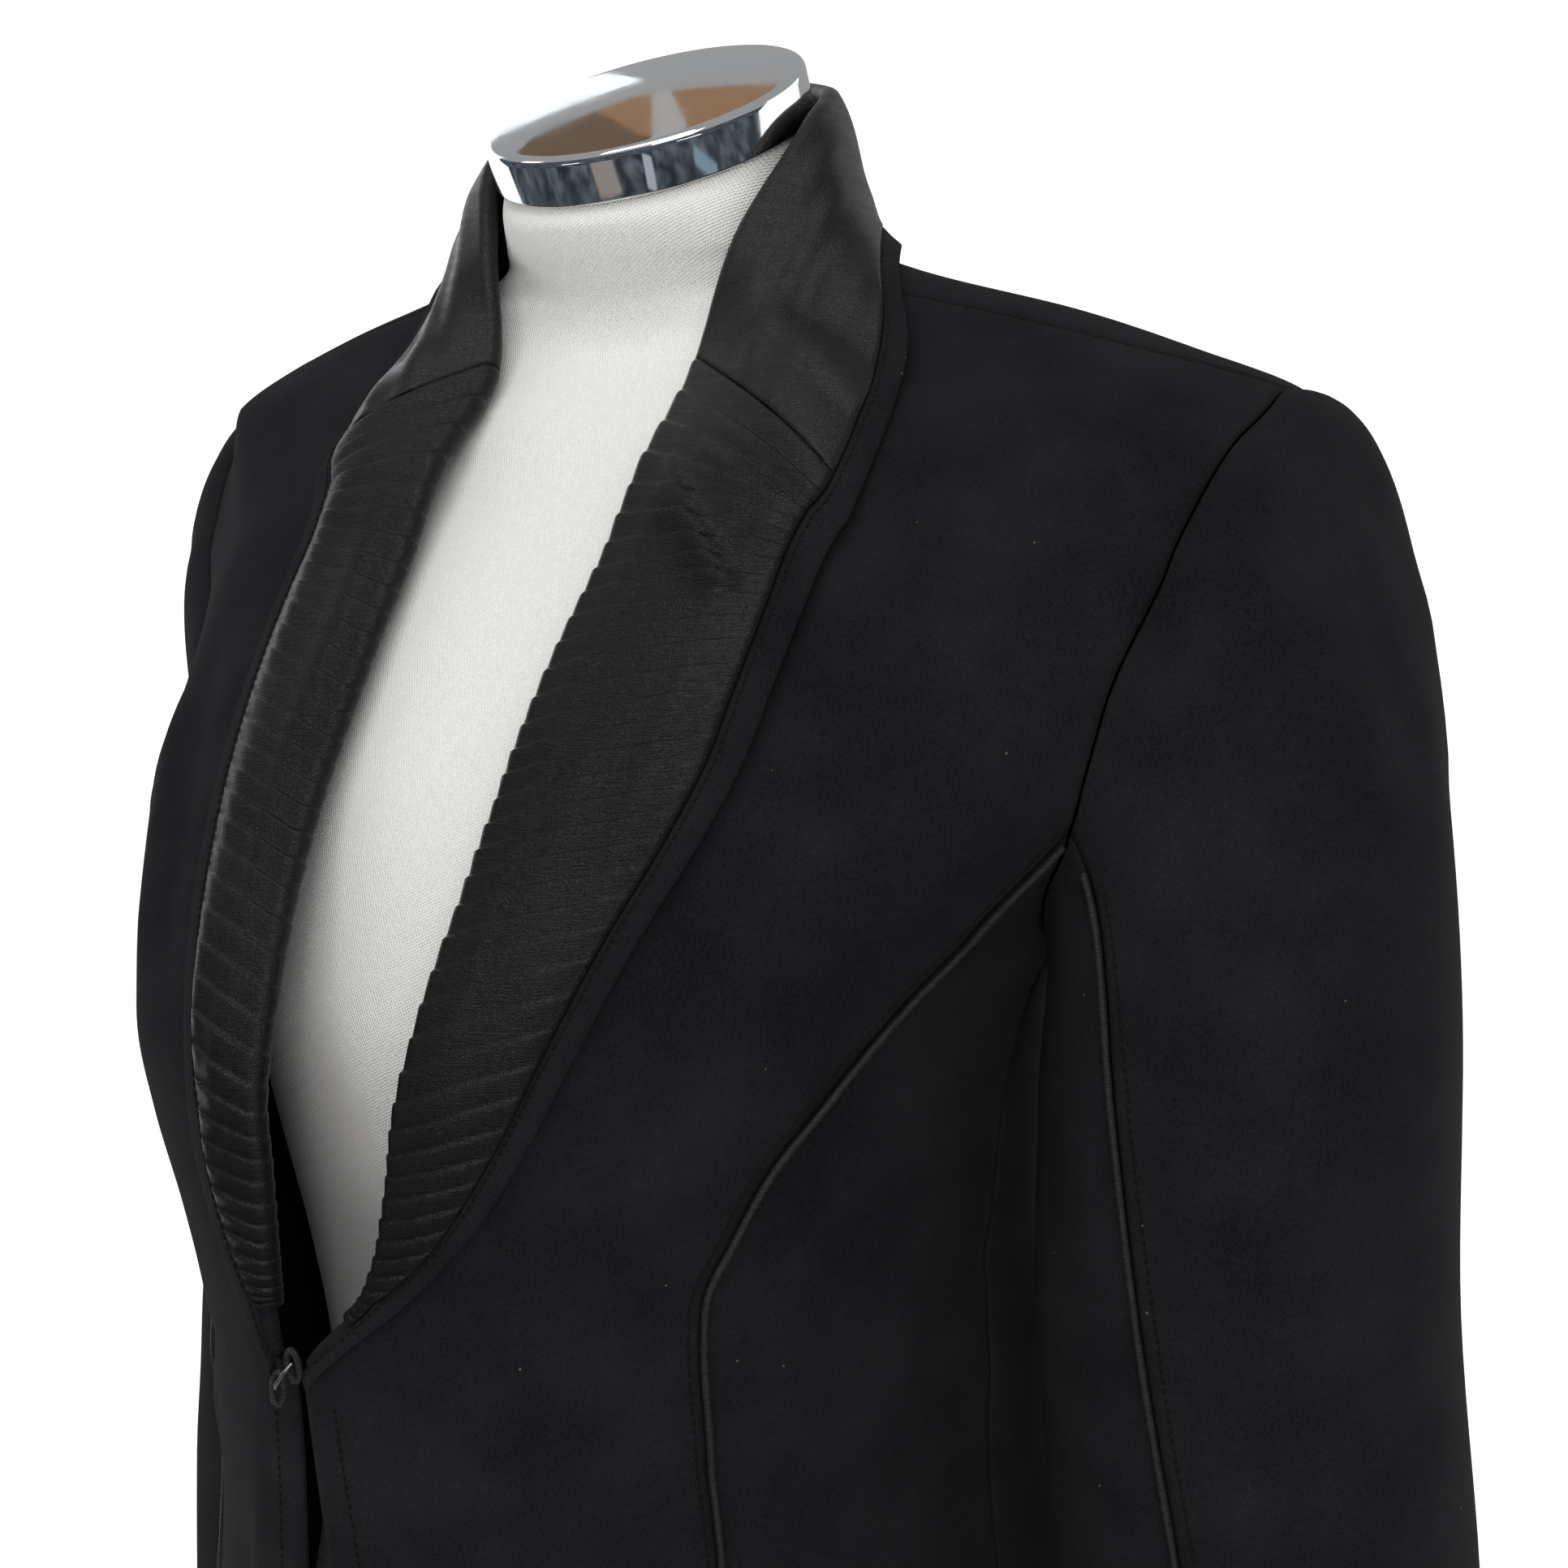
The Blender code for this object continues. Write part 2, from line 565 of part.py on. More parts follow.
def add_turned(name, profile, steps, look, centre, tilt=0.0):
    """A solid of revolution from a profile of radius and height that starts and ends on the axis."""
    mesh = bpy.data.meshes.new(name)
    points = [(radius, 0.0, height) for radius, height in profile]
    mesh.from_pydata(points, [(i, i + 1) for i in range(len(points) - 1)], [])
    mesh.materials.append(add_material(name, *look))
    made = bpy.data.objects.new(name, mesh)
    bpy.data.collections["blazer"].objects.link(made)
    screw = made.modifiers.new("turn", "SCREW")
    screw.steps = steps
    screw.render_steps = steps
    screw.use_merge_vertices = True
    screw.merge_threshold = 0.0001
    screw.use_normal_calculate = True
    made.matrix_world = Matrix.Translation(Vector(centre)) @ Matrix.Rotation(tilt, 4, "X")
    return made


def pair(table_theta, table_z):
    return np.stack([table_theta, table_z], -1)


def armhole(table, share):
    found = at_key(table, share)
    return pair(found[..., 0], found[..., 1])


def princess(z):
    return pair(at_key(PRINCESS, z)[..., 0], z)


def front_edge(z):
    return pair(theta_at_x(at_key(FRONT_EDGE, z)[..., 0], z), z)


def panel(left, right, top, bottom):
    flat = coons(left, right, top, bottom)
    outer = inset(body(flat[..., 0], flat[..., 1]), SEAM_GAP / 2)
    inner = inset(body(flat[..., 0], flat[..., 1], -CLOTH), SEAM_GAP / 2)
    return outer, inner


def line(start, end, count):
    return np.linspace(start, end, count)


def front_centre_panel(side):
    neck = pair(*neck_seam(side, KEY_ROWS[KEY_ROWS <= NECK_SIDE_ROW][::-1]))
    below = front_edge(steps_through((FRONT_EDGE[-1][0], -0.41, HEM), (1, 3)))
    left = np.concatenate([neck, below])
    over = armhole(ARMHOLE_TOP, np.array(TOP_SHARES[SHOULDER_INDEX::-1]))
    right = np.concatenate([over, princess(np.array(SEAM_HEIGHTS[1:]))])
    top = line(left[0], right[0], SHOULDER_COLUMNS)
    return panel(left, right, top, line(left[-1], right[-1], SHOULDER_COLUMNS))


def front_side_panel():
    heights = np.array(SEAM_HEIGHTS)
    left = princess(heights)
    top = armhole(ARMHOLE_UNDER, np.array(UNDER_SHARES[:2:-1]))
    share = ((heights - heights[0]) / (heights[-1] - heights[0]))[:, None]
    right = top[-1] * (1 - share) + np.array([SIDE_THETA, HEM]) * share
    return panel(left, right, top, line(left[-1], right[-1], len(top)))


def halved(points):
    """The same line with a point halfway along each step."""
    count = len(points)
    where = np.linspace(0, count - 1, 2 * count - 1)
    return np.stack([np.interp(where, np.arange(count), column) for column in points.T], -1)


def back_panel(side):
    neck = halved(pair(*neck_seam(side, KEY_ROWS[KEY_ROWS >= NECK_SIDE_ROW][::-1])))
    shoulder = line(neck[-1], armhole(ARMHOLE_TOP, np.array(SHOULDER_END)), SHOULDER_COLUMNS)
    over = armhole(ARMHOLE_TOP, np.array(TOP_SHARES[SHOULDER_INDEX + 1:]))
    under = armhole(ARMHOLE_UNDER, np.array(UNDER_SHARES[1:4]))
    heights = np.array(SEAM_HEIGHTS)
    share = ((heights - heights[0]) / (heights[-1] - heights[0]))[:, None]
    side_seam = under[-1] * (1 - share) + np.array([SIDE_THETA, HEM]) * share
    right = np.concatenate([shoulder, over, under, side_seam[1:]])
    upper = len(right) - len(side_seam)
    levels = np.concatenate([line(neck[0, 1], under[-1, 1], upper + 1), side_seam[1:, 1]])
    left = pair(np.full(len(right), 180.0), levels)
    return panel(left, right, neck, line(left[-1], right[-1], len(neck)))


def sleeve_skin(under, share, swing):
    """Sleeve points: rows run down from the armhole, columns run along that part of the armhole."""
    flat = armhole(ARMHOLE_UNDER if under else ARMHOLE_TOP, share)
    start = body(flat[:, 0], flat[:, 1])
    normal = body_normal(flat[:, 0], flat[:, 1])
    rings = []
    for z in steps_through((SLEEVE[0][0], SLEEVE[2][0], CUFF), (2, 3)):
        cx, cy, rx, ry, seam = at_key(SLEEVE, z)
        first, last = (BACK_SEAM_ANGLE, 360.0 + seam) if under else (seam, BACK_SEAM_ANGLE)
        angle = np.radians(first + (last - first) * share)
        x = cx + swing[0] + rx * np.sin(angle)
        y = cy + swing[1] - ry * np.cos(angle)
        rings.append(np.stack([x, y, np.full(len(share), z)], -1))
    lower = np.stack(rings)
    up = np.clip((flat[:, 1] - ARMHOLE_LOW) / ARMHOLE_RISE, 0.0, 1.0)[:, None]
    leave = unit(np.array([1.0, 0.0, -0.08]) * up + np.array([0.12, 0.0, -1.0]) * (1 - up) + 0.25 * normal * up)
    reach = np.linalg.norm(lower[0] - start, axis=1, keepdims=True)
    second = start + leave * reach * (0.34 - 0.18 * up)
    third = lower[0] + unit(lower[0] - lower[1]) * reach * 0.45
    head = bezier((start, second, third, lower[0]), np.array(HEAD_SHARES))
    return np.concatenate([head.transpose(1, 0, 2), lower])


def sleeve(under, side):
    """Outer and inner faces of one sleeve piece. Its outward directions are those of the whole tube."""
    top = sleeve_skin(False, np.array(TOP_SHARES), SLEEVE_SWING[side])
    below = sleeve_skin(True, np.array(UNDER_SHARES), SLEEVE_SWING[side])
    tube = np.concatenate([top[:, :-1], below[:, :-1]], axis=1)
    across = np.roll(tube, -1, axis=1) - np.roll(tube, 1, axis=1)
    normal = unit(np.cross(across, -np.gradient(tube, axis=0)))
    columns = np.arange(len(TOP_SHARES) - 1, tube.shape[1] + 1) if under else np.arange(len(TOP_SHARES))
    columns = columns % tube.shape[1]
    skin = tube[:, columns]
    return inset(skin, SLEEVE_EASE), inset(skin - normal[:, columns] * CLOTH, SLEEVE_EASE)


def leaf_columns(side, shares, first_column):
    """Middle points and outward directions at the key rows, with the upper leg cut at these shares of it."""
    path, normals, size = shawl(side, KEY_ROWS)
    first = 3 + ROLL_STEPS
    middle = [path[:, j] for j in range(first_column, first)]
    ways = [normals[:, j] for j in range(first_column, first)]
    for share in shares(size):
        points, directions = upper_leg(path, normals, first, share)
        middle.append(points)
        ways.append(directions)
    return np.stack(middle, 1), np.stack(ways, 1)


def between_key_rows(values, rows):
    low = np.clip(np.searchsorted(KEY_ROWS, rows, side="right") - 1, 0, len(KEY_ROWS) - 2)
    part = ((rows - KEY_ROWS[low]) / (KEY_ROWS[low + 1] - KEY_ROWS[low]))[:, None, None]
    return values[low] * (1 - part) + values[low + 1] * part


def satin_shares(size):
    stop = band_share(size) - SEAM_GAP / np.maximum(size, BAND)
    return 0.0 * stop, 0.5 * stop, stop


def wool_shares(size):
    stop = band_share(size)
    return 0.0 * stop, 0.5 * stop, stop, stop + 0.004, np.ones_like(stop)


def satin_leaf(side, rows, rise):
    """Satin over the leaf, from the edge band round the roll to the inside."""
    middle, ways = (between_key_rows(values, rows) for values in leaf_columns(side, satin_shares, 0))
    near = LEAF / 2 + LAYER_GAP + SATIN_EASE
    columns = middle.shape[1]
    waves = np.array([0.0] * (columns - 3) + [0.5, 1.0, 1.0])
    sink = np.array([*FACING_SINK] + [0.0] * (columns - 2))
    far = near + sink[None] + SATIN + TUCK_HEIGHT * rise[:, None] * waves[None]
    return middle + ways * far[..., None], middle + ways * (near + sink)[None, :, None]


def tuck_rows():
    """Rows and heights of the tucks: each rises slowly and drops at its fold."""
    rows = []
    rise = []
    for i in range(TUCKS):
        for share, height in ((0.0, 0.0), (0.86, 1.0)):
            rows.append(TUCK_FIRST_ROW + (COLLAR_ROW - TUCK_FIRST_ROW) * (i + share) / TUCKS)
            rise.append(height)
    return np.array(rows + [COLLAR_ROW]), np.array(rise + [0.0])


def under_leaf(side):
    """Wool leaf under the satin, whose outer edge stands level with it as a band."""
    middle, ways = leaf_columns(side, wool_shares, 1)
    lifts = np.array([0.0] * (middle.shape[1] - 2) + [1.0, 0.8])
    outer = LEAF / 2 + lifts * (LAYER_GAP + SATIN)
    return middle + ways * outer[None, :, None], middle - ways * LEAF / 2


def form_rings():
    rings = []
    angles = np.linspace(0, 2 * np.pi, FORM_SIDES, endpoint=False)
    for z, tilt, width, centre, front, behind in FORM:
        depth = np.where(np.cos(angles) > 0, front, behind)
        reach = depth * np.cos(angles)
        lean = math.radians(tilt)
        x = width * np.sin(angles)
        rings.append(np.stack([x, centre - reach * math.cos(lean), z - reach * math.sin(lean)], -1))
    return np.stack(rings)


def build_form():
    rings = form_rings()
    points = placed(rings.reshape(-1, 3))
    sides = FORM_SIDES
    faces = []
    for i in range(len(rings) - 1):
        for j in range(sides):
            k = (j + 1) % sides
            faces.append((i * sides + j, i * sides + k, (i + 1) * sides + k, (i + 1) * sides + j))
    faces.append(tuple(range(sides)))
    faces.append(tuple((len(rings) - 1) * sides + j for j in range(sides)))
    add_mesh("form_torso", points, faces, (LINEN, 0.0, 0.8))


def build_stand():
    add_turned("stand_base", STAND_BASE, 36, (CHROME, 1.0, 0.15), (0, 0, 0))
    foot = BASE_HEIGHT + SEAM_GAP
    top = NECK_SIDE_HEIGHT + FORM_BOTTOM - SEAM_GAP - foot
    pole = (*STAND_POLE_FOOT, (STAND_POLE_RADIUS, top), (0.0, top))
    add_turned("stand_pole", pole, 20, (CHROME, 1.0, 0.15), (0, 0, foot))
    lean = Vector((0.0, -math.sin(CAP_TILT), math.cos(CAP_TILT)))
    centre = Vector(CAP_CENTRE) - lean * CAP_HEIGHT
    centre += Vector((0.0, NECK_BEHIND_STAND, NECK_SIDE_HEIGHT))
    add_turned("neck_cap", NECK_CAP, 32, (CHROME, 1.0, 0.08), centre, CAP_TILT)


def build_piping(side, mirrored):
    flat = princess(np.array((SEAM_HEIGHTS[0] - 0.003, *SEAM_HEIGHTS[1:-1], HEM + 0.001)))
    line_points = body(flat[:, 0], flat[:, 1], PIPING_RADIUS + PIPING_LIFT)
    add_cord(f"piping_princess_{side}", line_points, PIPING_RADIUS, (SATIN_BLACK, 0.0, 0.45), mirrored)
    outer, inner = sleeve(False, side)
    away = unit(outer[:, 0] - inner[:, 0])
    seam = outer[2:, 0] + away[2:] * (PIPING_RADIUS + LAYER_GAP)
    add_cord(f"piping_sleeve_{side}", seam, PIPING_RADIUS, (SATIN_BLACK, 0.0, 0.45), mirrored)


def build_closure():
    """Two cord loops, one from each front, and the small hook that holds them."""
    front = body(1.0, -0.3035, 0.0)[1]
    for side, x, z, half_width, half_height, rise in CORD_LOOPS:
        points = []
        for angle in np.linspace(0, 2 * np.pi, 13)[1:-1]:
            y = front - CORD_STANDS_OUT + rise * math.sin(angle)
            points.append((x + half_width * math.cos(angle), y, z + half_height * math.sin(angle)))
        add_cord(f"cord_loop_{side}", points, CORD_RADIUS, (WOOL, 0.0, 0.6))
    add_cord("hook", [(x, front - out, z) for x, out, z in HOOK], HOOK_RADIUS, (STEEL, 1.0, 0.3))


def build():
    wool = (WOOL, 0.0, 0.9)
    satin = (SATIN_BLACK, 0.0, 0.42)
    half_gap = SEAM_GAP / 2
    rows, rise = tuck_rows()
    plain = KEY_ROWS[KEY_ROWS >= COLLAR_ROW]
    halves = []
    for side, mirrored in (("L", False), ("R", True)):
        add_sheet(f"front_centre_{side}", *front_centre_panel(side), wool, mirrored)
        add_sheet(f"front_side_{side}", *front_side_panel(), wool, mirrored)
        add_sheet(f"back_{side}", *back_panel(side), wool, mirrored)
        add_sheet(f"sleeve_top_{side}", *sleeve(False, side), wool, mirrored)
        add_sheet(f"sleeve_under_{side}", *sleeve(True, side), wool, mirrored)
        add_sheet(f"shawl_under_{side}", *(inset(grid, half_gap) for grid in under_leaf(side)), wool, mirrored)
        tucked = satin_leaf(side, rows, rise)
        add_sheet(f"lapel_tucked_{side}", *(inset(grid, half_gap) for grid in tucked), satin, mirrored)
        halves.append(satin_leaf(side, plain, np.zeros(len(plain))))
        build_piping(side, mirrored)
    flip = np.array([-1.0, 1.0, 1.0])
    collar = [np.concatenate([left, (right * flip)[-2::-1]]) for left, right in zip(*halves)]
    add_sheet("collar_upper", *(inset(grid, half_gap) for grid in collar), satin)
    build_closure()
    build_form()
    build_stand()


for thing in list(bpy.data.objects):
    bpy.data.objects.remove(thing)
bpy.context.scene.collection.children.link(bpy.data.collections.new("blazer"))
build()
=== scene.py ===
# %% [markdown]
# # A blazer with tucked satin lapels, on a counter-top form
# The garment hangs on a limbless form, slightly turned, so its halves differ a little.
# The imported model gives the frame. Each cloth piece here is a thin wall over its plain solid,
# worked out from the same tables of sizes at a finer step, and the looks come from node materials.

import math

import bpy
import numpy as np
from mathutils import Matrix, Vector


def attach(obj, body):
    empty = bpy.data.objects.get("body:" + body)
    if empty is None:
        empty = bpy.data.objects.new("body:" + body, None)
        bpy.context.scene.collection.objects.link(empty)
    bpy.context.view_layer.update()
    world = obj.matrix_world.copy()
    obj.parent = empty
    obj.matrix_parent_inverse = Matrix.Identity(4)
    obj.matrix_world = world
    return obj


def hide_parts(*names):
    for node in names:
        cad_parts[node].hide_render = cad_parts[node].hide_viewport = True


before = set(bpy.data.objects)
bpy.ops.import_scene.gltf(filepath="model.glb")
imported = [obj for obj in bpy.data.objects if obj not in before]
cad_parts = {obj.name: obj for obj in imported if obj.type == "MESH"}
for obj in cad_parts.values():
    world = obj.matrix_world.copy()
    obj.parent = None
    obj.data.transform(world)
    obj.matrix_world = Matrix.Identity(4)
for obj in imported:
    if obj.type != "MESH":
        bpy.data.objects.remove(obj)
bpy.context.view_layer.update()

# %% [markdown]
# ## Camera
# The photo is a close-up from the front left, a little above the lapels. A camera is placed by its
# position and three angles, which were fitted to the outline of the form and the shoulders.
# An Empty with a Track To constraint would be easier to move, but a fixed matrix is exact.

# %% Camera
NECK = np.array([0.0, 0.050, 0.820])
CAMERA_AT = (0.425, -0.577, 0.794)
AZIMUTH, PITCH, ROLL = (math.radians(a) for a in (31.0, 11.0, -1.4))

back = Vector((math.sin(AZIMUTH) * math.cos(PITCH), -math.cos(AZIMUTH) * math.cos(PITCH), math.sin(PITCH)))
level = Vector((math.cos(AZIMUTH), math.sin(AZIMUTH), 0.0))
rise = back.cross(level)
right = level * math.cos(ROLL) + rise * math.sin(ROLL)
up = rise * math.cos(ROLL) - level * math.sin(ROLL)
camera_data = bpy.data.cameras.new("camera")
camera_data.sensor_width = 36.0
camera_data.lens = 50.3
camera_data.clip_start = 0.01
camera = bpy.data.objects.new("camera", camera_data)
camera.matrix_world = Matrix([(right[i], up[i], back[i], CAMERA_AT[i]) for i in range(3)] + [(0, 0, 0, 1)])
bpy.context.scene.collection.objects.link(camera)
bpy.context.scene.camera = camera
print("camera lens", camera_data.lens)

# %% [markdown]
# ## Reading the tables
# A tailor's pattern is drawn from a few measured stations with smooth lines between them.
# Each table below has one row for each station. The same smooth rule reads all of them, and it
# never overshoots, so a waist stays the narrowest place. A spline through the points could bulge.

# %% Smooth reading of a table
def at_key(table, key):
    rows = np.array(sorted(map(tuple, table)), float)
    x = rows[:, 0]
    key = np.asarray(key, float)
    low = np.clip(np.searchsorted(x, key, side="right") - 1, 0, len(x) - 2)
    step = np.diff(x)
    slope = np.diff(rows[:, 1:], axis=0) / step[:, None]
    ends = np.empty_like(rows[:, 1:])
    ends[0] = slope[0]
    ends[-1] = slope[-1]
    share = (step[:-1] / (step[:-1] + step[1:]))[:, None]
    ends[1:-1] = slope[:-1] * (1 - share) + slope[1:] * share
    ends[1:-1][slope[:-1] * slope[1:] <= 0] = 0
    t = ((key - x[low]) / step[low])[..., None]
    h = step[low][..., None]
    start = (2 * t**3 - 3 * t**2 + 1) * rows[low, 1:] + (t**3 - 2 * t**2 + t) * h * ends[low]
    finish = (3 * t**2 - 2 * t**3) * rows[low + 1, 1:] + (t**3 - t**2) * h * ends[low + 1]
    return start + finish


def unit(vectors):
    return vectors / np.maximum(np.linalg.norm(vectors, axis=-1, keepdims=True), 1e-12)


def finer(values, times):
    """The same list with each step cut into this many."""
    values = np.asarray(values, float)
    where = np.linspace(0, len(values) - 1, times * (len(values) - 1) + 1)
    return np.interp(where, np.arange(len(values)), values)


def smooth_step(value):
    value = np.clip(value, 0.0, 1.0)
    return value * value * (3 - 2 * value)


def way_along(grid):
    """Distance along each row of a grid, from its first point."""
    walked = np.linalg.norm(np.diff(grid, axis=1), axis=-1).cumsum(1)
    return np.concatenate([np.zeros((len(grid), 1)), walked], 1)


def at_distance(points, walked, distance):
    """Points of a line at this distance along it."""
    return np.stack([np.interp(distance, walked, points[:, axis]) for axis in range(3)], -1)


# %% [markdown]
# ## The torso that the cloth follows
# The fronts, side fronts and backs all lie on one body surface: a stack of uneven ovals, wider in
# front at the bust. A point is named by its angle round the body and its height under the neck.
# That lets seams be drawn as lines on the surface, the way a pattern maker pins tape on a form.

# %% Body surface
CLOTH = 0.0015
HEM = -0.620
CUFF = -0.610
# Columns: z, half width, centre y, depth in front, depth behind.
BODY = (
    (0.012, 0.062, 0.012, 0.034, 0.034),
    (0.000, 0.094, 0.020, 0.044, 0.040),
    (-0.013, 0.143, 0.027, 0.053, 0.046),
    (-0.026, 0.181, 0.030, 0.067, 0.056),
    (-0.039, 0.215, 0.029, 0.083, 0.075),
    (-0.054, 0.2245, 0.025, 0.095, 0.086),
    (-0.085, 0.228, 0.020, 0.116, 0.094),
    (-0.110, 0.218, 0.017, 0.135, 0.098),
    (-0.147, 0.201, 0.012, 0.157, 0.100),
    (-0.161, 0.192, 0.010, 0.165, 0.100),
    (-0.190, 0.166, 0.003, 0.180, 0.103),
    (-0.220, 0.145, -0.010, 0.182, 0.108),
    (-0.250, 0.137, -0.020, 0.172, 0.108),
    (-0.280, 0.134, -0.026, 0.161, 0.107),
    (-0.320, 0.131, -0.030, 0.154, 0.105),
    (-0.380, 0.131, -0.033, 0.152, 0.108),
    (-0.420, 0.134, -0.034, 0.155, 0.113),
    (-0.500, 0.150, -0.036, 0.160, 0.128),
    (-0.570, 0.163, -0.038, 0.165, 0.138),
    (-0.640, 0.174, -0.038, 0.168, 0.144),
)
# Columns: z, extra depth at the front edges.
PROW = ((-0.640, 0.006), (-0.450, 0.008), (-0.310, 0.014), (-0.200, 0.0), (0.012, 0.0))
PROW_ANGLE = 26.0
# Columns: z, extra room over the back of the waist.
FULLNESS = (
    (-0.640, 0.0120),
    (-0.500, 0.0200),
    (-0.420, 0.0225),
    (-0.360, 0.0195),
    (-0.300, 0.0145),
    (-0.250, 0.0090),
    (-0.205, 0.0010),
    (-0.190, 0.0),
    (0.012, 0.0),
)
FULLEST_ANGLE = 115.0
FULLNESS_ANGLE = 22.0


def body_skin(theta, z):
    row = at_key(BODY, z)
    angle = np.radians(theta)
    cosine = np.cos(angle)
    depth = np.where(cosine > 0, row[..., 2], row[..., 3])
    prow = at_key(PROW, z)[..., 0] * np.exp(-((theta / PROW_ANGLE) ** 2))
    room = at_key(FULLNESS, z)[..., 0] * np.exp(-(((theta - FULLEST_ANGLE) / FULLNESS_ANGLE) ** 2))
    x = (row[..., 0] + room) * np.sin(angle)
    return np.stack([x, row[..., 1] - (depth + room) * cosine - prow, z], -1)


def body_normal(theta, z):
    across = body_skin(theta + 0.25, z) - body_skin(theta - 0.25, z)
    upward = body_skin(theta, z + 0.0005) - body_skin(theta, z - 0.0005)
    return unit(np.cross(across, upward))


def body(theta, z, out=0.0):
    theta, z = np.broadcast_arrays(np.asarray(theta, float), np.asarray(z, float))
    return body_skin(theta, z) + np.asarray(out)[..., None] * body_normal(theta, z)


def theta_at_x(x, z):
    return np.degrees(np.arcsin(x / at_key(BODY, z)[..., 0]))


# %% [markdown]
# ## Uneven halves
# The blazer is a little turned on its form: the right shoulder sits in and back, and the right
# chest stands forward. Both halves are worked out as left ones, and the right one then goes
# through this small shift and is mirrored. A Mirror modifier would make the halves too equal.

# %% The right half's shift
SHOULDER_IN = 0.014
SHOULDER_BACK = 0.012
CHEST_FORWARD = 0.014
CHEST_AT = (0.10, -0.225)
CHEST_SIZE = (0.055, 0.075)
SHIFT_FROM = 0.16
SHIFT_OVER = 0.06
# Between these heights the shift starts further in and takes a longer way to reach its whole.
ARMPIT, ARMPIT_FADE = -0.20, 0.07
TOP, TOP_FADE = -0.04, 0.04
FURTHER_IN, LONGER = 0.06, 0.03


def settled(points):
    moved = points.copy()
    x, z = points[..., 0], points[..., 2]
    high = np.clip((z - ARMPIT) / ARMPIT_FADE, 0.0, 1.0) * np.clip((TOP - z) / TOP_FADE, 0.0, 1.0)
    share = smooth_step((x - SHIFT_FROM + FURTHER_IN * high) / (SHIFT_OVER + LONGER * high))
    chest = ((x - CHEST_AT[0]) / CHEST_SIZE[0]) ** 2 + ((z - CHEST_AT[1]) / CHEST_SIZE[1]) ** 2
    moved[..., 0] -= SHOULDER_IN * share
    moved[..., 1] += SHOULDER_BACK * share - CHEST_FORWARD * np.exp(-chest)
    moved[..., 0] *= -1
    return moved


def placed(points, side):
    return (settled(points) if side == "R" else points) + NECK


# %% [markdown]
# ## Sheets of cloth
# Cloth has two faces and a thin edge. The walls are made from two grids of points, an outer and an
# inner one, joined along the rim. A Solidify modifier gives the same, but here the inner face
# can be told to keep clear of what lies under it. Only the faces are smooth shaded, not the rim.

# %% Make a sheet
def add_object(name, points, faces, material, smooth=None):
    mesh = bpy.data.meshes.new(name)
    mesh.from_pydata([tuple(point) for point in points], [], faces)
    mesh.materials.append(material)
    if smooth is not None:
        mesh.polygons.foreach_set("use_smooth", smooth)
    made = bpy.data.objects.new(name, mesh)
    bpy.context.scene.collection.objects.link(made)
    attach(made, "root")
    return made


def grid_faces(rows, columns):
    index = np.arange(rows * columns).reshape(rows, columns)
    return np.stack([index[:-1, :-1], index[:-1, 1:], index[1:, 1:], index[1:, :-1]], -1).reshape(-1, 4)


def grid_area(grid):
    across = np.cross(grid[1:, 1:] - grid[:-1, :-1], grid[1:, :-1] - grid[:-1, 1:])
    return float(np.linalg.norm(across, axis=-1).sum() / 2)


def add_sheet(name, outer, inner, side, material, slot):
    """A thin closed wall. It prints its one-sided area and its length and width along the middle."""
    rows, columns = outer.shape[:2]
    points = np.concatenate([placed(outer, side).reshape(-1, 3), placed(inner, side).reshape(-1, 3)])
    front = grid_faces(rows, columns)
    behind = front[:, ::-1] + rows * columns
    index = np.arange(rows * columns).reshape(rows, columns)
    rim = np.concatenate([index[0], index[1:, -1], index[-1, -2::-1], index[-2:0:-1, 0]])
    following = np.roll(rim, -1)
    edge = np.stack([following, rim, rim + rows * columns, following + rows * columns], -1)
    faces = np.concatenate([front, behind, edge])
    if side == "R":
        faces = faces[:, ::-1]
    smooth = np.concatenate([np.ones(len(front) * 2, bool), np.zeros(len(edge), bool)])
    made = add_object(name, points, faces.tolist(), material, smooth)
    length = np.linalg.norm(np.diff(outer[:, columns // 2], axis=0), axis=-1).sum()
    width = np.linalg.norm(np.diff(outer, axis=1), axis=-1).sum(1).max()
    print(f"{name}: area {grid_area(outer):.4f} m2, length {length:.3f} m, widest {width:.3f} m")
    return made


def coons(left, right, top, bottom):
    """A grid between four edges. Left and right run down, top and bottom run across."""
    down = np.linspace(0, 1, len(left))[:, None, None]
    over = np.linspace(0, 1, len(top))[None, :, None]
    ruled = left[:, None] * (1 - over) + right[:, None] * over
    hung = top[None] * (1 - down) + bottom[None] * down
    above = top[0] * (1 - over) + top[-1] * over
    beneath = bottom[0] * (1 - over) + bottom[-1] * over
    return ruled + hung - above * (1 - down) - beneath * down


# %% [markdown]
# ## Creases
# Pressed wool crepe lies almost smooth, but it still shows where it was folded and where a seam
# pulls. A cloth simulation would drape the whole garment anew and lose its cut, and a noise
# texture would be the same everywhere. So each crease is one row of a table: a soft bank along a
# line, which fades at both ends.

# %% One soft bank for each crease
BODY_ROUND = 0.17
FADE = 0.3


def relief(creases, across, upward):
    """Height of all these creases. Each row: start, end, depth, half width and bow, in metres."""
    height = np.zeros(np.broadcast(across, upward).shape)
    for x1, z1, x2, z2, depth, width, bow in creases:
        run_x, run_z = x2 - x1, z2 - z1
        length = math.hypot(run_x, run_z)
        t = ((across - x1) * run_x + (upward - z1) * run_z) / length**2
        off = ((upward - z1) * run_x - (across - x1) * run_z) / length - 4 * bow * t * (1 - t)
        fade = smooth_step(t / FADE) * smooth_step((1 - t) / FADE)
        height += depth * fade * np.exp(-((off / width) ** 2))
    return height


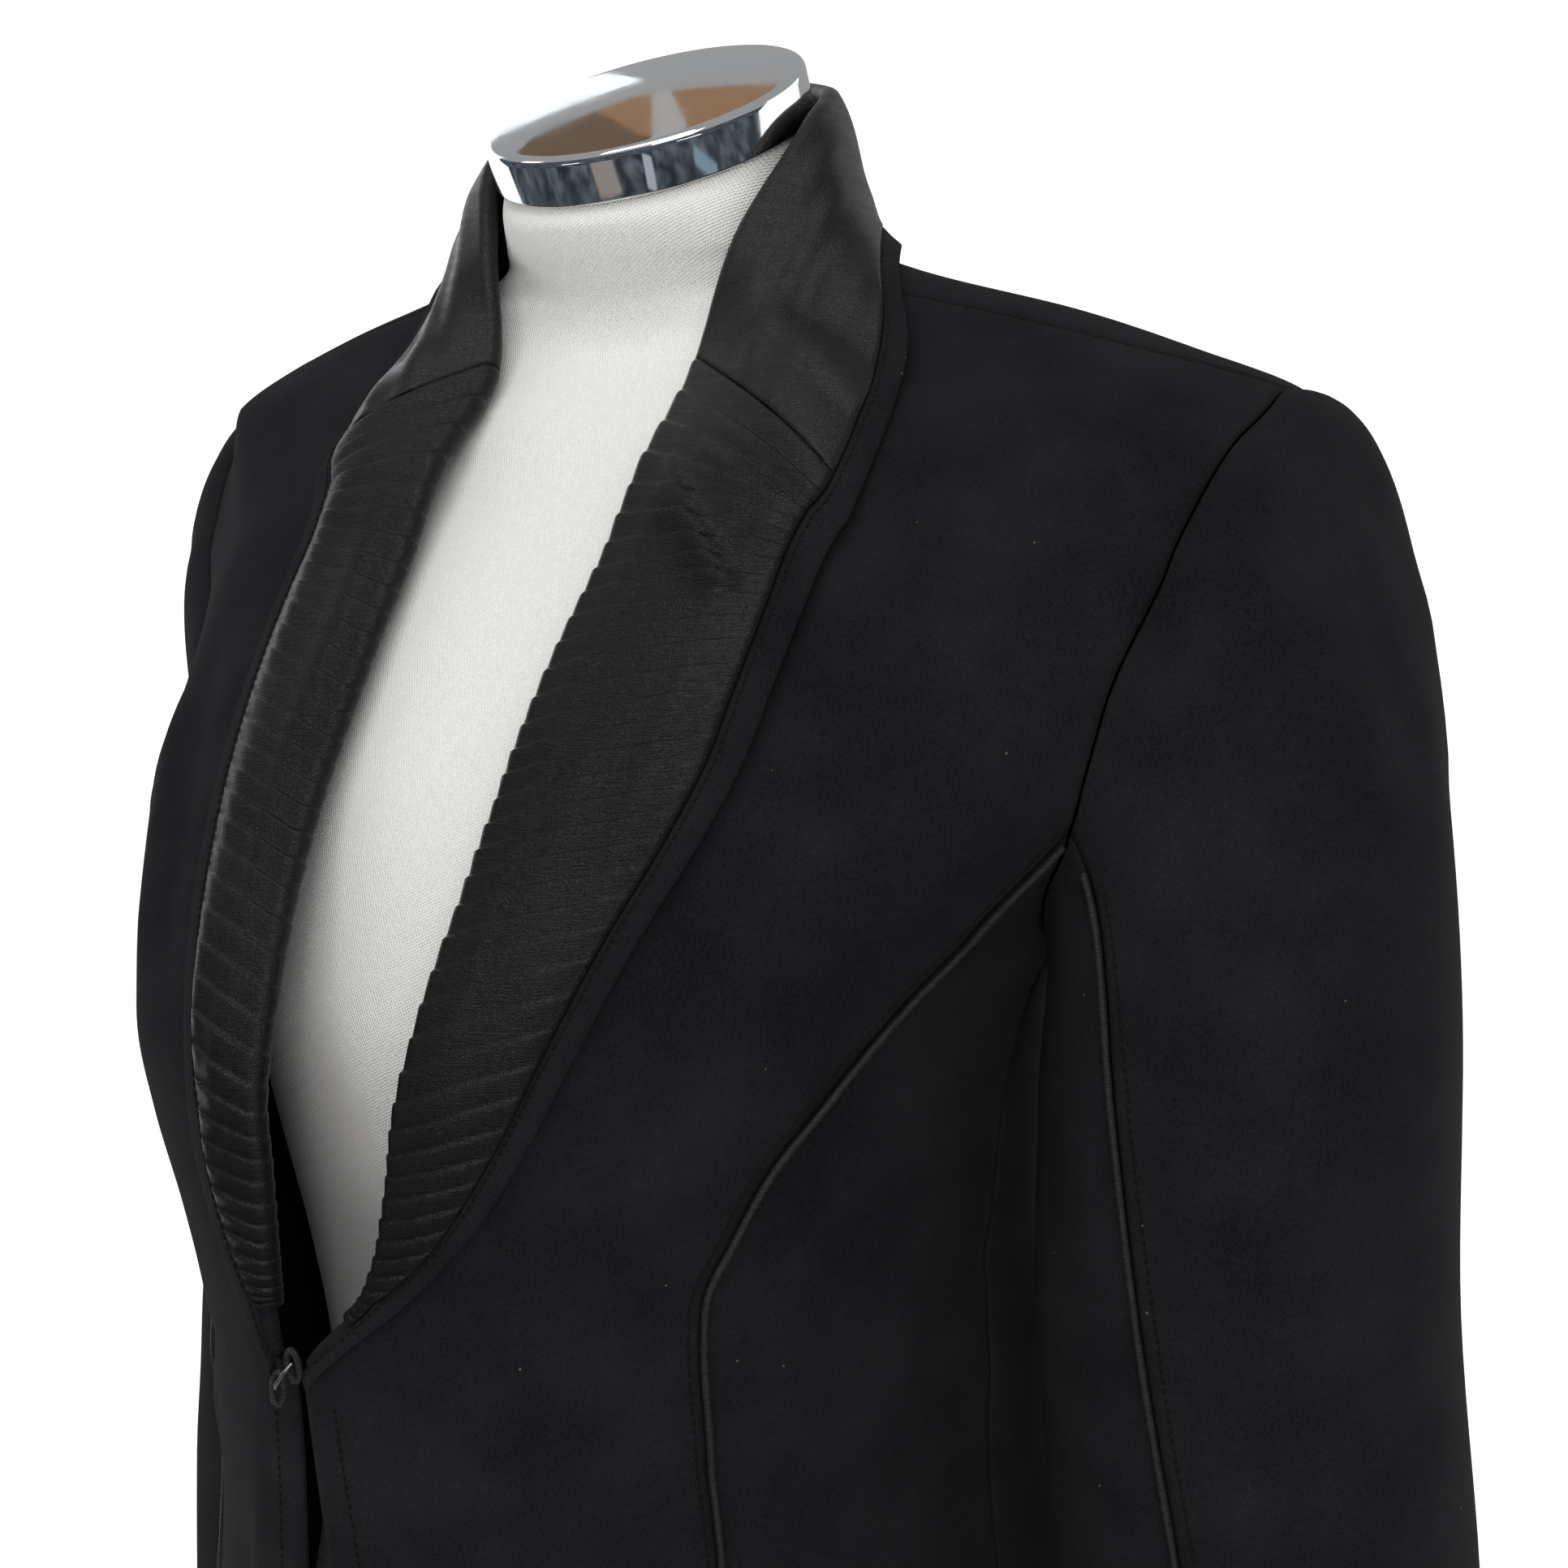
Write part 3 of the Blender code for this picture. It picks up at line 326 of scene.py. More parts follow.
# Columns: way round from the centre front and height at the start and the end, depth, half width, bow.
BODY_CREASES = {
    "L": (
        (0.055, -0.298, 0.128, -0.306, -0.0009, 0.0025, 0.002),
        (0.060, -0.306, 0.120, -0.312, 0.0008, 0.0040, 0.002),
        (0.150, -0.170, 0.196, -0.158, -0.0012, 0.0035, 0.002),
        (0.165, -0.185, 0.200, -0.176, -0.0008, 0.0030, -0.001),
        (0.105, -0.345, 0.190, -0.352, -0.0012, 0.0080, 0.003),
        (0.120, -0.372, 0.230, -0.364, 0.0012, 0.0090, -0.003),
        (0.020, -0.330, 0.045, -0.420, -0.0012, 0.0060, 0.002),
        (0.026, -0.312, 0.060, -0.352, 0.0014, 0.0070, -0.002),
        (0.070, -0.450, 0.088, -0.610, 0.0016, 0.0140, 0.002),
        (0.230, -0.430, 0.245, -0.600, -0.0018, 0.0150, -0.003),
        (0.240, -0.310, 0.330, -0.322, -0.0014, 0.0070, 0.002),
        (0.250, -0.350, 0.350, -0.340, 0.0014, 0.0090, -0.003),
        (0.385, -0.150, 0.400, -0.290, 0.0020, 0.0140, 0.004),
        (0.440, -0.330, 0.520, -0.318, -0.0014, 0.0070, 0.002),
        (0.430, -0.360, 0.515, -0.368, 0.0015, 0.0090, -0.002),
        (0.420, -0.420, 0.410, -0.610, 0.0022, 0.0180, 0.004),
        (0.480, -0.110, 0.500, -0.240, -0.0014, 0.0120, -0.003),
    ),
    "R": (
        (0.088, -0.100, 0.070, -0.215, -0.0020, 0.0075, 0.003),
        (0.108, -0.110, 0.096, -0.225, 0.0018, 0.0085, -0.003),
        (0.128, -0.095, 0.126, -0.200, -0.0016, 0.0080, 0.002),
        (0.150, -0.120, 0.158, -0.175, -0.0012, 0.0040, 0.001),
        (0.050, -0.320, 0.130, -0.338, -0.0014, 0.0060, 0.003),
        (0.030, -0.332, 0.052, -0.440, 0.0014, 0.0080, -0.002),
        (0.085, -0.360, 0.180, -0.352, 0.0015, 0.0090, 0.003),
        (0.075, -0.460, 0.082, -0.610, -0.0018, 0.0150, 0.003),
        (0.200, -0.420, 0.215, -0.600, 0.0018, 0.0160, -0.003),
        (0.245, -0.330, 0.340, -0.318, -0.0014, 0.0070, -0.002),
        (0.235, -0.370, 0.330, -0.380, 0.0014, 0.0090, 0.003),
        (0.375, -0.165, 0.392, -0.300, 0.0022, 0.0150, -0.004),
        (0.430, -0.300, 0.510, -0.312, -0.0016, 0.0080, 0.002),
        (0.425, -0.345, 0.520, -0.335, 0.0013, 0.0080, -0.003),
        (0.430, -0.430, 0.425, -0.610, 0.0020, 0.0180, -0.004),
        (0.470, -0.090, 0.485, -0.230, -0.0016, 0.0130, 0.003),
    ),
}
# The same, with the way round measured from the piped seam of the upper sleeve.
SLEEVE_CREASES = {
    "L": (
        (0.000, -0.236, 0.060, -0.238, -0.0022, 0.0045, 0.003),
        (0.004, -0.250, 0.070, -0.256, 0.0020, 0.0070, 0.003),
        (0.000, -0.300, 0.085, -0.322, -0.0018, 0.0080, -0.004),
        (0.010, -0.335, 0.110, -0.345, 0.0016, 0.0100, 0.004),
        (0.110, -0.080, 0.100, -0.150, 0.0016, 0.0080, 0.002),
        (0.135, -0.075, 0.128, -0.165, -0.0018, 0.0080, -0.002),
        (0.165, -0.080, 0.168, -0.170, 0.0016, 0.0090, 0.002),
        (0.060, -0.110, 0.040, -0.190, -0.0014, 0.0070, 0.003),
        (0.150, -0.330, 0.235, -0.352, -0.0022, 0.0100, 0.004),
        (0.140, -0.365, 0.225, -0.378, 0.0020, 0.0110, -0.004),
        (0.120, -0.420, 0.132, -0.590, 0.0018, 0.0160, 0.003),
        (0.040, -0.430, 0.050, -0.600, -0.0014, 0.0120, -0.003),
    ),
    "R": (
        (0.000, -0.225, 0.070, -0.236, -0.0020, 0.0060, -0.003),
        (0.004, -0.262, 0.080, -0.266, 0.0018, 0.0080, 0.003),
        (0.000, -0.318, 0.090, -0.332, -0.0020, 0.0090, 0.004),
        (0.105, -0.085, 0.098, -0.160, -0.0016, 0.0080, 0.002),
        (0.140, -0.080, 0.136, -0.175, 0.0016, 0.0090, -0.002),
        (0.150, -0.340, 0.230, -0.326, -0.0020, 0.0100, -0.004),
        (0.130, -0.375, 0.230, -0.368, 0.0018, 0.0120, 0.004),
        (0.110, -0.430, 0.118, -0.590, -0.0018, 0.0150, 0.003),
        (0.050, -0.440, 0.048, -0.600, 0.0014, 0.0140, -0.002),
    ),
}
UNDER_SLEEVE_CREASES = (
    (0.020, -0.300, 0.110, -0.318, -0.0020, 0.0080, 0.003),
    (0.030, -0.345, 0.105, -0.338, 0.0018, 0.0090, -0.003),
    (0.060, -0.430, 0.070, -0.590, 0.0014, 0.0140, 0.002),
)


def body_relief(side, theta, z):
    return relief(BODY_CREASES[side], np.radians(theta) * BODY_ROUND, z)


print("creases:", sum(len(rows) for rows in (*BODY_CREASES.values(), *SLEEVE_CREASES.values())))

# %% [markdown]
# ## Seam lines of the body
# A princess seam runs from the armhole over the bust to the hem, where it takes up the fullness
# that a dart would. Seams are lines of angle and height, and both neighbours read the same line.

# %% Armhole, princess seam and front edge
SIDE_THETA = 92.0
SEAM_GAP = 0.0003
# Columns: share from the front notch over the shoulder to the back notch, angle, z.
ARMHOLE_TOP = (
    (0.00, 67.8, -0.1634),
    (0.07, 64.3, -0.1450),
    (0.18, 61.5, -0.1120),
    (0.29, 61.6, -0.0800),
    (0.37, 66.9, -0.0566),
    (0.44, 76.8, -0.0425),
    (0.50, 86.0, -0.0388),
    (0.57, 99.0, -0.0440),
    (0.65, 109.0, -0.0580),
    (0.74, 115.0, -0.0800),
    (0.84, 118.0, -0.1100),
    (0.93, 118.0, -0.1400),
    (1.00, 115.0, -0.1650),
)
# Columns: share under the arm, from the back notch to the front notch, angle, z.
ARMHOLE_UNDER = (
    (0.00, 115.0, -0.1650),
    (0.25, 108.0, -0.1880),
    (0.45, 99.0, -0.2010),
    (0.58, SIDE_THETA, -0.2050),
    (0.72, 83.0, -0.2010),
    (0.87, 74.5, -0.1850),
    (1.00, 67.8, -0.1634),
)
SHOULDER_END = 0.50
SIDE_SHARE = 0.58
# Columns: z, angle.
PRINCESS = (
    (HEM, 48.0),
    (-0.5000, 49.0),
    (-0.4200, 49.5),
    (-0.3765, 49.1),
    (-0.3421, 48.2),
    (-0.3036, 47.5),
    (-0.2885, 48.0),
    (-0.2757, 50.6),
    (-0.2528, 56.0),
    (-0.2377, 60.8),
    (-0.2223, 64.7),
    (-0.2080, 66.7),
    (-0.1948, 67.8),
    (-0.1787, 67.8),
    (-0.1634, 67.8),
)
# Columns: z, x.
FRONT_EDGE = ((HEM, 0.0130), (-0.500, 0.0080), (-0.370, 0.0045), (-0.330, 0.0018), (-0.308, 0.0012))


def pair(theta, z):
    return np.stack([theta, z], -1)


def armhole(table, share):
    found = at_key(table, share)
    return pair(found[..., 0], found[..., 1])


def princess(z):
    return pair(at_key(PRINCESS, z)[..., 0], z)


def front_edge(z):
    return pair(theta_at_x(at_key(FRONT_EDGE, z)[..., 0], z), z)


def steps_through(stops, counts):
    parts = [np.linspace(a, b, n + 1)[:-1] for a, b, n in zip(stops, stops[1:], counts)]
    return np.concatenate(parts + [[stops[-1]]])


print("armhole highest at", float(armhole(ARMHOLE_TOP, SHOULDER_END)[1]))

# %% [markdown]
# ## The shawl
# A shawl collar is one long strip with no notch: it rolls back from the closure, round the neck
# and down the other side. It is drawn as rows across the strip. Each row knows its roll, its
# outer edge and its seam. Lofting the rows one by one keeps the strip true to its length, which a
# curve with a flat bevel would not at the sharp turn behind the neck.

# %% Rows of the shawl
LEAF = 0.0013
SATIN = 0.0010
LAYER_GAP = 0.0003
ROLL_RADIUS = 0.0016
LAPEL_BULGE = 0.0045
LEAF_LIFT = 0.0013
BAND = 0.0105
FACING_INSIDE = 0.017
NECK_AXIS_Y = 0.010
# Columns: z and angle of the roll, z and angle of the edge, leg under it.
LAPEL_LEFT = (
    (-0.3045, 1.2, -0.3110, 2.2, 0.0030),
    (-0.2985, 3.4, -0.3035, 5.2, 0.0045),
    (-0.2900, 7.0, -0.2930, 10.2, 0.0065),
    (-0.2830, 9.6, -0.2810, 15.8, 0.0090),
    (-0.2680, 12.0, -0.2600, 23.2, 0.0110),
    (-0.2480, 13.5, -0.2380, 28.4, 0.0120),
    (-0.2260, 14.2, -0.2120, 31.0, 0.0120),
    (-0.1990, 13.5, -0.1840, 30.9, 0.0120),
    (-0.1730, 12.4, -0.1600, 30.6, 0.0120),
    (-0.1510, 11.4, -0.1380, 30.8, 0.0120),
    (-0.1300, 11.0, -0.1180, 30.4, 0.0120),
    (-0.1065, 11.0, -0.0980, 29.7, 0.0120),
    (-0.0848, 11.1, -0.0850, 29.5, 0.0120),
    (-0.0580, 11.3, -0.0775, 30.0, 0.0120),
    (-0.0286, 13.1, -0.0700, 30.6, 0.0120),
)
LAPEL_RIGHT = (
    (-0.3045, 1.2, -0.3110, 2.2, 0.0030),
    (-0.2985, 1.8, -0.3020, 4.6, 0.0045),
    (-0.2900, 2.0, -0.2920, 7.6, 0.0065),
    (-0.2830, 2.0, -0.2810, 9.8, 0.0080),
    (-0.2680, 2.0, -0.2620, 12.4, 0.0090),
    (-0.2480, 2.2, -0.2420, 14.4, 0.0100),
    (-0.2260, 3.0, -0.2160, 16.0, 0.0110),
    (-0.1990, 4.5, -0.1880, 18.0, 0.0120),
    (-0.1730, 6.1, -0.1630, 19.4, 0.0120),
    (-0.1510, 6.9, -0.1410, 20.0, 0.0120),
    (-0.1300, 6.9, -0.1200, 20.0, 0.0120),
    (-0.1065, 7.0, -0.0990, 19.8, 0.0120),
    (-0.0848, 7.4, -0.0840, 19.8, 0.0120),
    (-0.0580, 8.4, -0.0720, 20.4, 0.0120),
    (-0.0286, 10.9, -0.0600, 21.6, 0.0120),
)
# Columns: roll x y z, edge angle, z and lift, seam angle and z, outward x y z.
COLLAR_LEFT = (
    (0.0520, -0.0230, 0.0100, 35.0, -0.0320, 0.003, 40.0, -0.006, 0.72, -0.50, 0.48),
    (0.0620, 0.0000, 0.0420, 56.0, -0.0060, 0.004, 84.0, 0.008, 0.90, -0.18, 0.40),
    (0.0570, 0.0240, 0.0550, 103.0, 0.0040, 0.004, 108.0, 0.010, 0.88, 0.34, 0.33),
    (0.0455, 0.0425, 0.0600, 137.0, -0.0005, 0.004, 130.0, 0.008, 0.72, 0.63, 0.29),
    (0.0255, 0.0580, 0.0640, 163.0, -0.0190, 0.004, 156.0, 0.003, 0.40, 0.88, 0.26),
    (0.0000, 0.0635, 0.0650, 180.0, -0.0260, 0.004, 180.0, 0.001, 0.00, 0.97, 0.24),
)
COLLAR_RIGHT = (
    (0.0500, -0.0230, 0.0120, 27.5, -0.0230, 0.004, 40.0, -0.006, 0.72, -0.50, 0.48),
    (0.0620, 0.0000, 0.0420, 60.0, 0.0000, 0.004, 84.0, 0.008, 0.90, -0.18, 0.40),
    *COLLAR_LEFT[2:],
)
TUCK_FIRST_ROW = 3
COLLAR_ROW = len(LAPEL_LEFT) - 1
NECK_SIDE_ROW = COLLAR_ROW + 1.25
CENTRE_BACK_ROW = COLLAR_ROW + len(COLLAR_LEFT)
FINE_ROW = TUCK_FIRST_ROW + (COLLAR_ROW - TUCK_FIRST_ROW) * 7 / 9
ROW_STOPS = (0, TUCK_FIRST_ROW, FINE_ROW, COLLAR_ROW, NECK_SIDE_ROW, CENTRE_BACK_ROW)
KEY_ROWS = steps_through(ROW_STOPS, (2, 7, 4, 3, 5))


def shawl_rows(lapel, collar):
    z_roll, t_roll, z_edge, t_edge, leg = np.array(lapel).T
    width = at_key(BODY, z_roll)[:, 0]
    inward = np.degrees((ROLL_RADIUS + LEAF / 2 + LAYER_GAP + SATIN) / width)
    roll = body(t_roll + inward, z_roll, ROLL_RADIUS - CLOTH / 2)
    edge = body(t_edge, z_edge, LEAF + LEAF_LIFT)
    seam_theta = t_roll + inward + np.degrees(leg / width)
    facing = np.where(z_roll < -0.29, 0.004, FACING_INSIDE)
    front = np.column_stack([roll, edge, seam_theta, z_roll, body_normal(t_roll, z_roll), facing])
    roll_x, roll_y, roll_z, edge_theta, edge_z, lift, theta, z, *outward = np.array(collar).T
    edge = body(edge_theta, edge_z, lift)
    behind = [roll_x, roll_y, roll_z, edge, theta, z, unit(np.column_stack(outward)), np.zeros(len(collar))]
    rows = np.vstack([front, np.column_stack(behind)])
    return tuple(map(tuple, np.column_stack([np.arange(len(rows)), rows])))


SHAWL = {"L": shawl_rows(LAPEL_LEFT, COLLAR_LEFT), "R": shawl_rows(LAPEL_RIGHT, COLLAR_RIGHT)}
print("shawl rows:", len(SHAWL["L"]), "to the centre back")

# %% [markdown]
# ## The fold of each row
# In section the strip goes up from the seam, over the roll and back down to its edge. Both legs
# are short curves that leave the roll and meet the cloth flat, so the lapel springs a little.

# %% Section through the leaf
ROLL_STEPS = 6
UPPER_COLUMNS = 41
LEG_STEPS = (0.0, 0.28, 0.57, 0.85)


def leg_curve(start, start_out, end, end_out, lift, t):
    span = end - start
    length = np.linalg.norm(span, axis=1, keepdims=True)
    leave = unit(span - start_out * np.sum(span * start_out, axis=1, keepdims=True))
    arrive = unit(span - end_out * np.sum(span * end_out, axis=1, keepdims=True))
    second = start + leave * length / 3 + start_out * lift
    third = end - arrive * length / 3 + end_out * lift
    weights = np.stack([(1 - t) ** 3, 3 * t * (1 - t) ** 2, 3 * t**2 * (1 - t), t**3], -1)
    return np.einsum("tk,rkc->rtc", weights, np.stack([start, second, third, end], 1))


def shawl(side, row):
    """Middle of the folded leaf at these rows, its outward directions and the width of its upper leg."""
    found = at_key(SHAWL[side], row)
    centre, edge, out = found[:, 0:3], found[:, 3:6], unit(found[:, 8:11])
    theta, z, facing = found[:, 6], found[:, 7], found[:, 11]
    seam = body(theta, z, -CLOTH / 2)
    inside = body(theta + np.degrees(facing / at_key(BODY, z)[:, 0]), z, -CLOTH / 2)
    inward = unit(edge - centre) + unit(seam - centre)
    inward = unit(inward - out * np.sum(inward * out, axis=1, keepdims=True))
    edge_theta = np.degrees(np.arctan2(edge[:, 0], NECK_AXIS_Y - edge[:, 1]))
    edge_out = body_normal(np.clip(edge_theta, 1.0, 179.0), np.minimum(edge[:, 2], -0.006))
    size = np.linalg.norm(edge - centre, axis=1, keepdims=True)
    lift = LAPEL_BULGE * np.clip(size / 0.05, 0.0, 1.0)
    top = leg_curve(centre + out * ROLL_RADIUS, out, edge, edge_out, lift, np.linspace(0, 1, UPPER_COLUMNS))
    below = leg_curve(centre - out * ROLL_RADIUS, out, seam, body_normal(theta, z), 0.0, np.array(LEG_STEPS))
    angles = np.linspace(0, np.pi, ROLL_STEPS + 2)[1:-1]
    roll = [centre + ROLL_RADIUS * (out * math.cos(a) - inward * math.sin(a)) for a in angles]
    inside = np.where(facing[:, None] > 0.001, inside, below[:, -1] * 1.02 - below[:, 0] * 0.02)
    path = np.concatenate([inside[:, None], below[:, ::-1], np.stack(roll[::-1], 1), top], axis=1)
    along = np.gradient(path, axis=0)
    across = np.concatenate([path[:, 1:], path[:, -1:]], 1) - np.concatenate([path[:, :1], path[:, :-1]], 1)
    return path, unit(np.cross(across, along)), size[:, 0]


FIRST_UPPER = 1 + len(LEG_STEPS) + ROLL_STEPS


def leaf_columns(side, rows, shares, first_column):
    """Middle points and outward directions, with the upper leg cut at these shares of it."""
    path, normals, size = shawl(side, rows)
    columns = np.arange(UPPER_COLUMNS)
    where = np.clip(shares(size), 0.0, 1.0) * (UPPER_COLUMNS - 1)
    low = np.minimum(where.astype(int), UPPER_COLUMNS - 2)
    part = (where - low)[..., None]
    index = np.arange(len(path))[:, None]
    upper = path[index, FIRST_UPPER + low] * (1 - part) + path[index, FIRST_UPPER + low + 1] * part
    ways = normals[index, FIRST_UPPER + low] * (1 - part) + normals[index, FIRST_UPPER + low + 1] * part
    middle = np.concatenate([path[:, first_column:FIRST_UPPER], upper], 1)
    return middle, unit(np.concatenate([normals[:, first_column:FIRST_UPPER], ways], 1)), size


def inset(grid, amount):
    """Draws the four edges of a grid in, which leaves the seam gap between neighbours."""
    moved = grid.copy()
    for edge, inner in ((0, 1), (-1, -2)):
        moved[edge] += unit(grid[inner] - grid[edge]) * amount
    whole = moved.copy()
    for edge, inner in ((0, 1), (-1, -2)):
        moved[:, edge] += unit(whole[:, inner] - whole[:, edge]) * amount
    return moved


print("columns across the leaf before the upper leg:", FIRST_UPPER)

# %% [markdown]
# ## Node materials
# Every finish is a Principled shader with noise and waves behind its sockets. They read object
# coordinates, which are metres here, so a weave has its real scale on every piece and nothing
# needs unwrapping. Values that are the same all over stay on the shader itself.

# %% Helpers for node trees
def new_material(name, colour, roughness, **sockets):
    material = bpy.data.materials.new(name)
    material.use_nodes = True
    shader = material.node_tree.nodes["Principled BSDF"]
    shader.inputs["Base Color"].default_value = (*colour, 1.0)
    shader.inputs["Roughness"].default_value = roughness
    for socket, value in sockets.items():
        shader.inputs[socket.replace("_", " ")].default_value = value
    return material, material.node_tree, shader


def place(tree, turned=(0, 0, 0), stretched=(1, 1, 1)):
    """Object coordinates in metres, turned and stretched."""
    source = tree.nodes.new("ShaderNodeTexCoord")
    mapping = tree.nodes.new("ShaderNodeMapping")
    mapping.inputs["Rotation"].default_value = [math.radians(a) for a in turned]
    mapping.inputs["Scale"].default_value = stretched
    tree.links.new(source.outputs["Object"], mapping.inputs["Vector"])
    return mapping.outputs["Vector"]


def noise(tree, vector, scale, detail=2.0, rough=0.5):
    node = tree.nodes.new("ShaderNodeTexNoise")
    node.inputs["Scale"].default_value = scale
    node.inputs["Detail"].default_value = detail
    node.inputs["Roughness"].default_value = rough
    tree.links.new(vector, node.inputs["Vector"])
    return node.outputs["Fac"]


def waves(tree, vector, scale, direction, distortion=0.0):
    node = tree.nodes.new("ShaderNodeTexWave")
    node.bands_direction = direction
    node.inputs["Scale"].default_value = scale
    node.inputs["Distortion"].default_value = distortion
    tree.links.new(vector, node.inputs["Vector"])
    return node.outputs["Fac"]


def spread(tree, value, low, high, start=0.3, end=0.7):
    """The value from start to end, stretched from low to high: numbers or colours."""
    if isinstance(low, tuple):
        node = tree.nodes.new("ShaderNodeValToRGB")
        node.color_ramp.elements[0].position = start
        node.color_ramp.elements[1].position = end
        node.color_ramp.elements[0].color = (*low, 1.0)
        node.color_ramp.elements[1].color = (*high, 1.0)
        tree.links.new(value, node.inputs["Fac"])
        return node.outputs["Color"]
    node = tree.nodes.new("ShaderNodeMapRange")
    for socket, number in (("From Min", start), ("From Max", end), ("To Min", low), ("To Max", high)):
        node.inputs[socket].default_value = number
    tree.links.new(value, node.inputs["Value"])
    return node.outputs["Result"]


def sum_of(tree, first, second, operation="ADD"):
    node = tree.nodes.new("ShaderNodeMath")
    node.operation = operation
    tree.links.new(first, node.inputs[0])
    tree.links.new(second, node.inputs[1])
    return node.outputs["Value"]


def bump(tree, shader, height, depth, strength=1.0):
    node = tree.nodes.new("ShaderNodeBump")
    node.inputs["Strength"].default_value = strength
    node.inputs["Distance"].default_value = depth
    tree.links.new(height, node.inputs["Height"])
    tree.links.new(node.outputs["Normal"], shader.inputs["Normal"])


# %% [markdown]
# ## Wool crepe
# Crepe is woven from hard twisted yarn, so its face is a fine even pebble with no shine. A rough
# shader with almost no mirror part and a little sheen gives that soft black. The pebble is bump,
# the yarn's uneven dye is a slow noise, and a few pale specks of lint lie on top.

# %% Wool
def make_wool():
    material, tree, shader = new_material(
        "wool_crepe", (0.0105, 0.0110, 0.0122), 0.92,
        Specular_IOR_Level=0.05, Sheen_Weight=0.012, Sheen_Roughness=0.5,
    )
    flat = place(tree)
    patchy = noise(tree, flat, 28.0, 3.0)
    grain = noise(tree, flat, 1500.0, 2.0, 0.6)
    yarn = noise(tree, place(tree, (0, 0, 0), (1.0, 1.0, 0.45)), 2300.0, 1.0)
    pebble = spread(tree, sum_of(tree, grain, yarn), 0.0, 0.55, 0.7, 1.3)
    shade = sum_of(tree, spread(tree, patchy, 0.0, 0.45), pebble)
    cloth = spread(tree, shade, (0.0028, 0.0032, 0.0042), (0.0144, 0.0149, 0.0164), 0.0, 1.0)
    lint = tree.nodes.new("ShaderNodeTexVoronoi")
    lint.inputs["Scale"].default_value = 95.0
    tree.links.new(flat, lint.inputs["Vector"])
    speck = spread(tree, lint.outputs["Distance"], 1.0, 0.0, 0.020, 0.042)
    rare = spread(tree, noise(tree, flat, 60.0, 0.0), 0.0, 1.0, 0.62, 0.66)
    mix = tree.nodes.new("ShaderNodeMix")
    mix.data_type = "RGBA"
    share, first, second, mixed = mix.inputs[0], mix.inputs[6], mix.inputs[7], mix.outputs[2]
    tree.links.new(sum_of(tree, speck, rare, "MULTIPLY"), share)
    tree.links.new(cloth, first)
    second.default_value = (0.13, 0.13, 0.13, 1.0)
    tree.links.new(mixed, shader.inputs["Base Color"])
    tree.links.new(spread(tree, grain, 0.84, 0.98), shader.inputs["Roughness"])
    bump(tree, shader, sum_of(tree, grain, yarn), 0.00030, 1.0)
    return material


WOOL = make_wool()
print("material:", WOOL.name)

# %% [markdown]
# ## Satin
# Satin floats its yarns over the face, so it shines along one way. The lapel cloth is slubbed:
# short thick places run crosswise, along the tucks. Noise that is squeezed fourteenfold in height
# makes the slubs, and it is turned with each lapel, because the tucks climb outward on both sides.

# %% Satin
def make_satin(name, turn, slub=1.0, colour=(0.0042, 0.0040, 0.0042)):
    material, tree, shader = new_material(
        name, colour, 0.30, Specular_IOR_Level=0.22, Sheen_Weight=0.010, Sheen_Roughness=0.35
    )
    along = place(tree, (0.0, turn, 0.0), (1.0, 1.0, 14.0))
    yarns = noise(tree, along, 160.0, 3.0, 0.6)
    coarse = noise(tree, along, 38.0, 2.0)
    weave = noise(tree, place(tree, (0.0, turn, 0.0), (1.0, 1.0, 2.2)), 1500.0, 1.0)
    light = tuple(c * 1.7 for c in colour)
    dark = tuple(c * 0.55 for c in colour)
    fleck = sum_of(tree, spread(tree, yarns, 0.0, 0.6), spread(tree, weave, 0.0, 0.4, 0.35, 0.65))
    tree.links.new(spread(tree, fleck, dark, light, 0.0, 1.0), shader.inputs["Base Color"])
    tree.links.new(spread(tree, coarse, 0.23, 0.38), shader.inputs["Roughness"])
    slubs = spread(tree, yarns, 0.0, slub)
    bump(tree, shader, sum_of(tree, slubs, spread(tree, weave, 0.0, 0.8, 0.35, 0.65)), 0.00014, 1.0)
    return material


SATIN_LEFT = make_satin("satin_tucked_left", 12.0)
SATIN_RIGHT = make_satin("satin_tucked_right", -12.0)
SATIN_COLLAR = make_satin("satin_collar", 0.0, 0.5, (0.0062, 0.0057, 0.0060))
PIPING = make_satin("satin_piping", 40.0, 1.0, (0.0135, 0.0126, 0.0130))
print("materials:", SATIN_LEFT.name, SATIN_RIGHT.name, SATIN_COLLAR.name, PIPING.name)

# %% [markdown]
# ## Thread, cord, steel, jersey and chrome
# The small things get their own finishes too. Thread has a faint lustre, and it is coloured darker
# than the wool as painted shade for the dips that the stitches press into the cloth. The cord is
# ribbed, and the steel of the hook is dark and worn. The form's cover is a fine knit: two crossed
# waves make its loops. Chrome is a clear mirror with the faint haze that polishing and fingers leave.

# %% The other finishes
def make_thread_and_painted_shade():
    # Darker than the wool: partly the dark thread itself, partly painted shade of the dip each stitch
    # presses into the cloth.
    colour = (0.0035, 0.0035, 0.0040)
    material, tree, shader = new_material("sewing_thread_and_painted_shade", colour, 0.60, Specular_IOR_Level=0.18)
    twist = waves(tree, place(tree, (0, 35, 0)), 900.0, "Z", 1.0)
    bump(tree, shader, twist, 0.00005)
    tree.links.new(spread(tree, twist, 0.48, 0.65), shader.inputs["Roughness"])
    return material


def make_cord():
    colour = (0.012, 0.012, 0.013)
    material, tree, shader = new_material("twisted_cord", colour, 0.42, Specular_IOR_Level=0.5)
    ribs = waves(tree, place(tree, (20, 35, 0)), 700.0, "DIAGONAL", 0.6)
    black = spread(tree, ribs, (0.005, 0.005, 0.006), (0.015, 0.015, 0.016))
    tree.links.new(black, shader.inputs["Base Color"])
    bump(tree, shader, ribs, 0.00012)
    return material


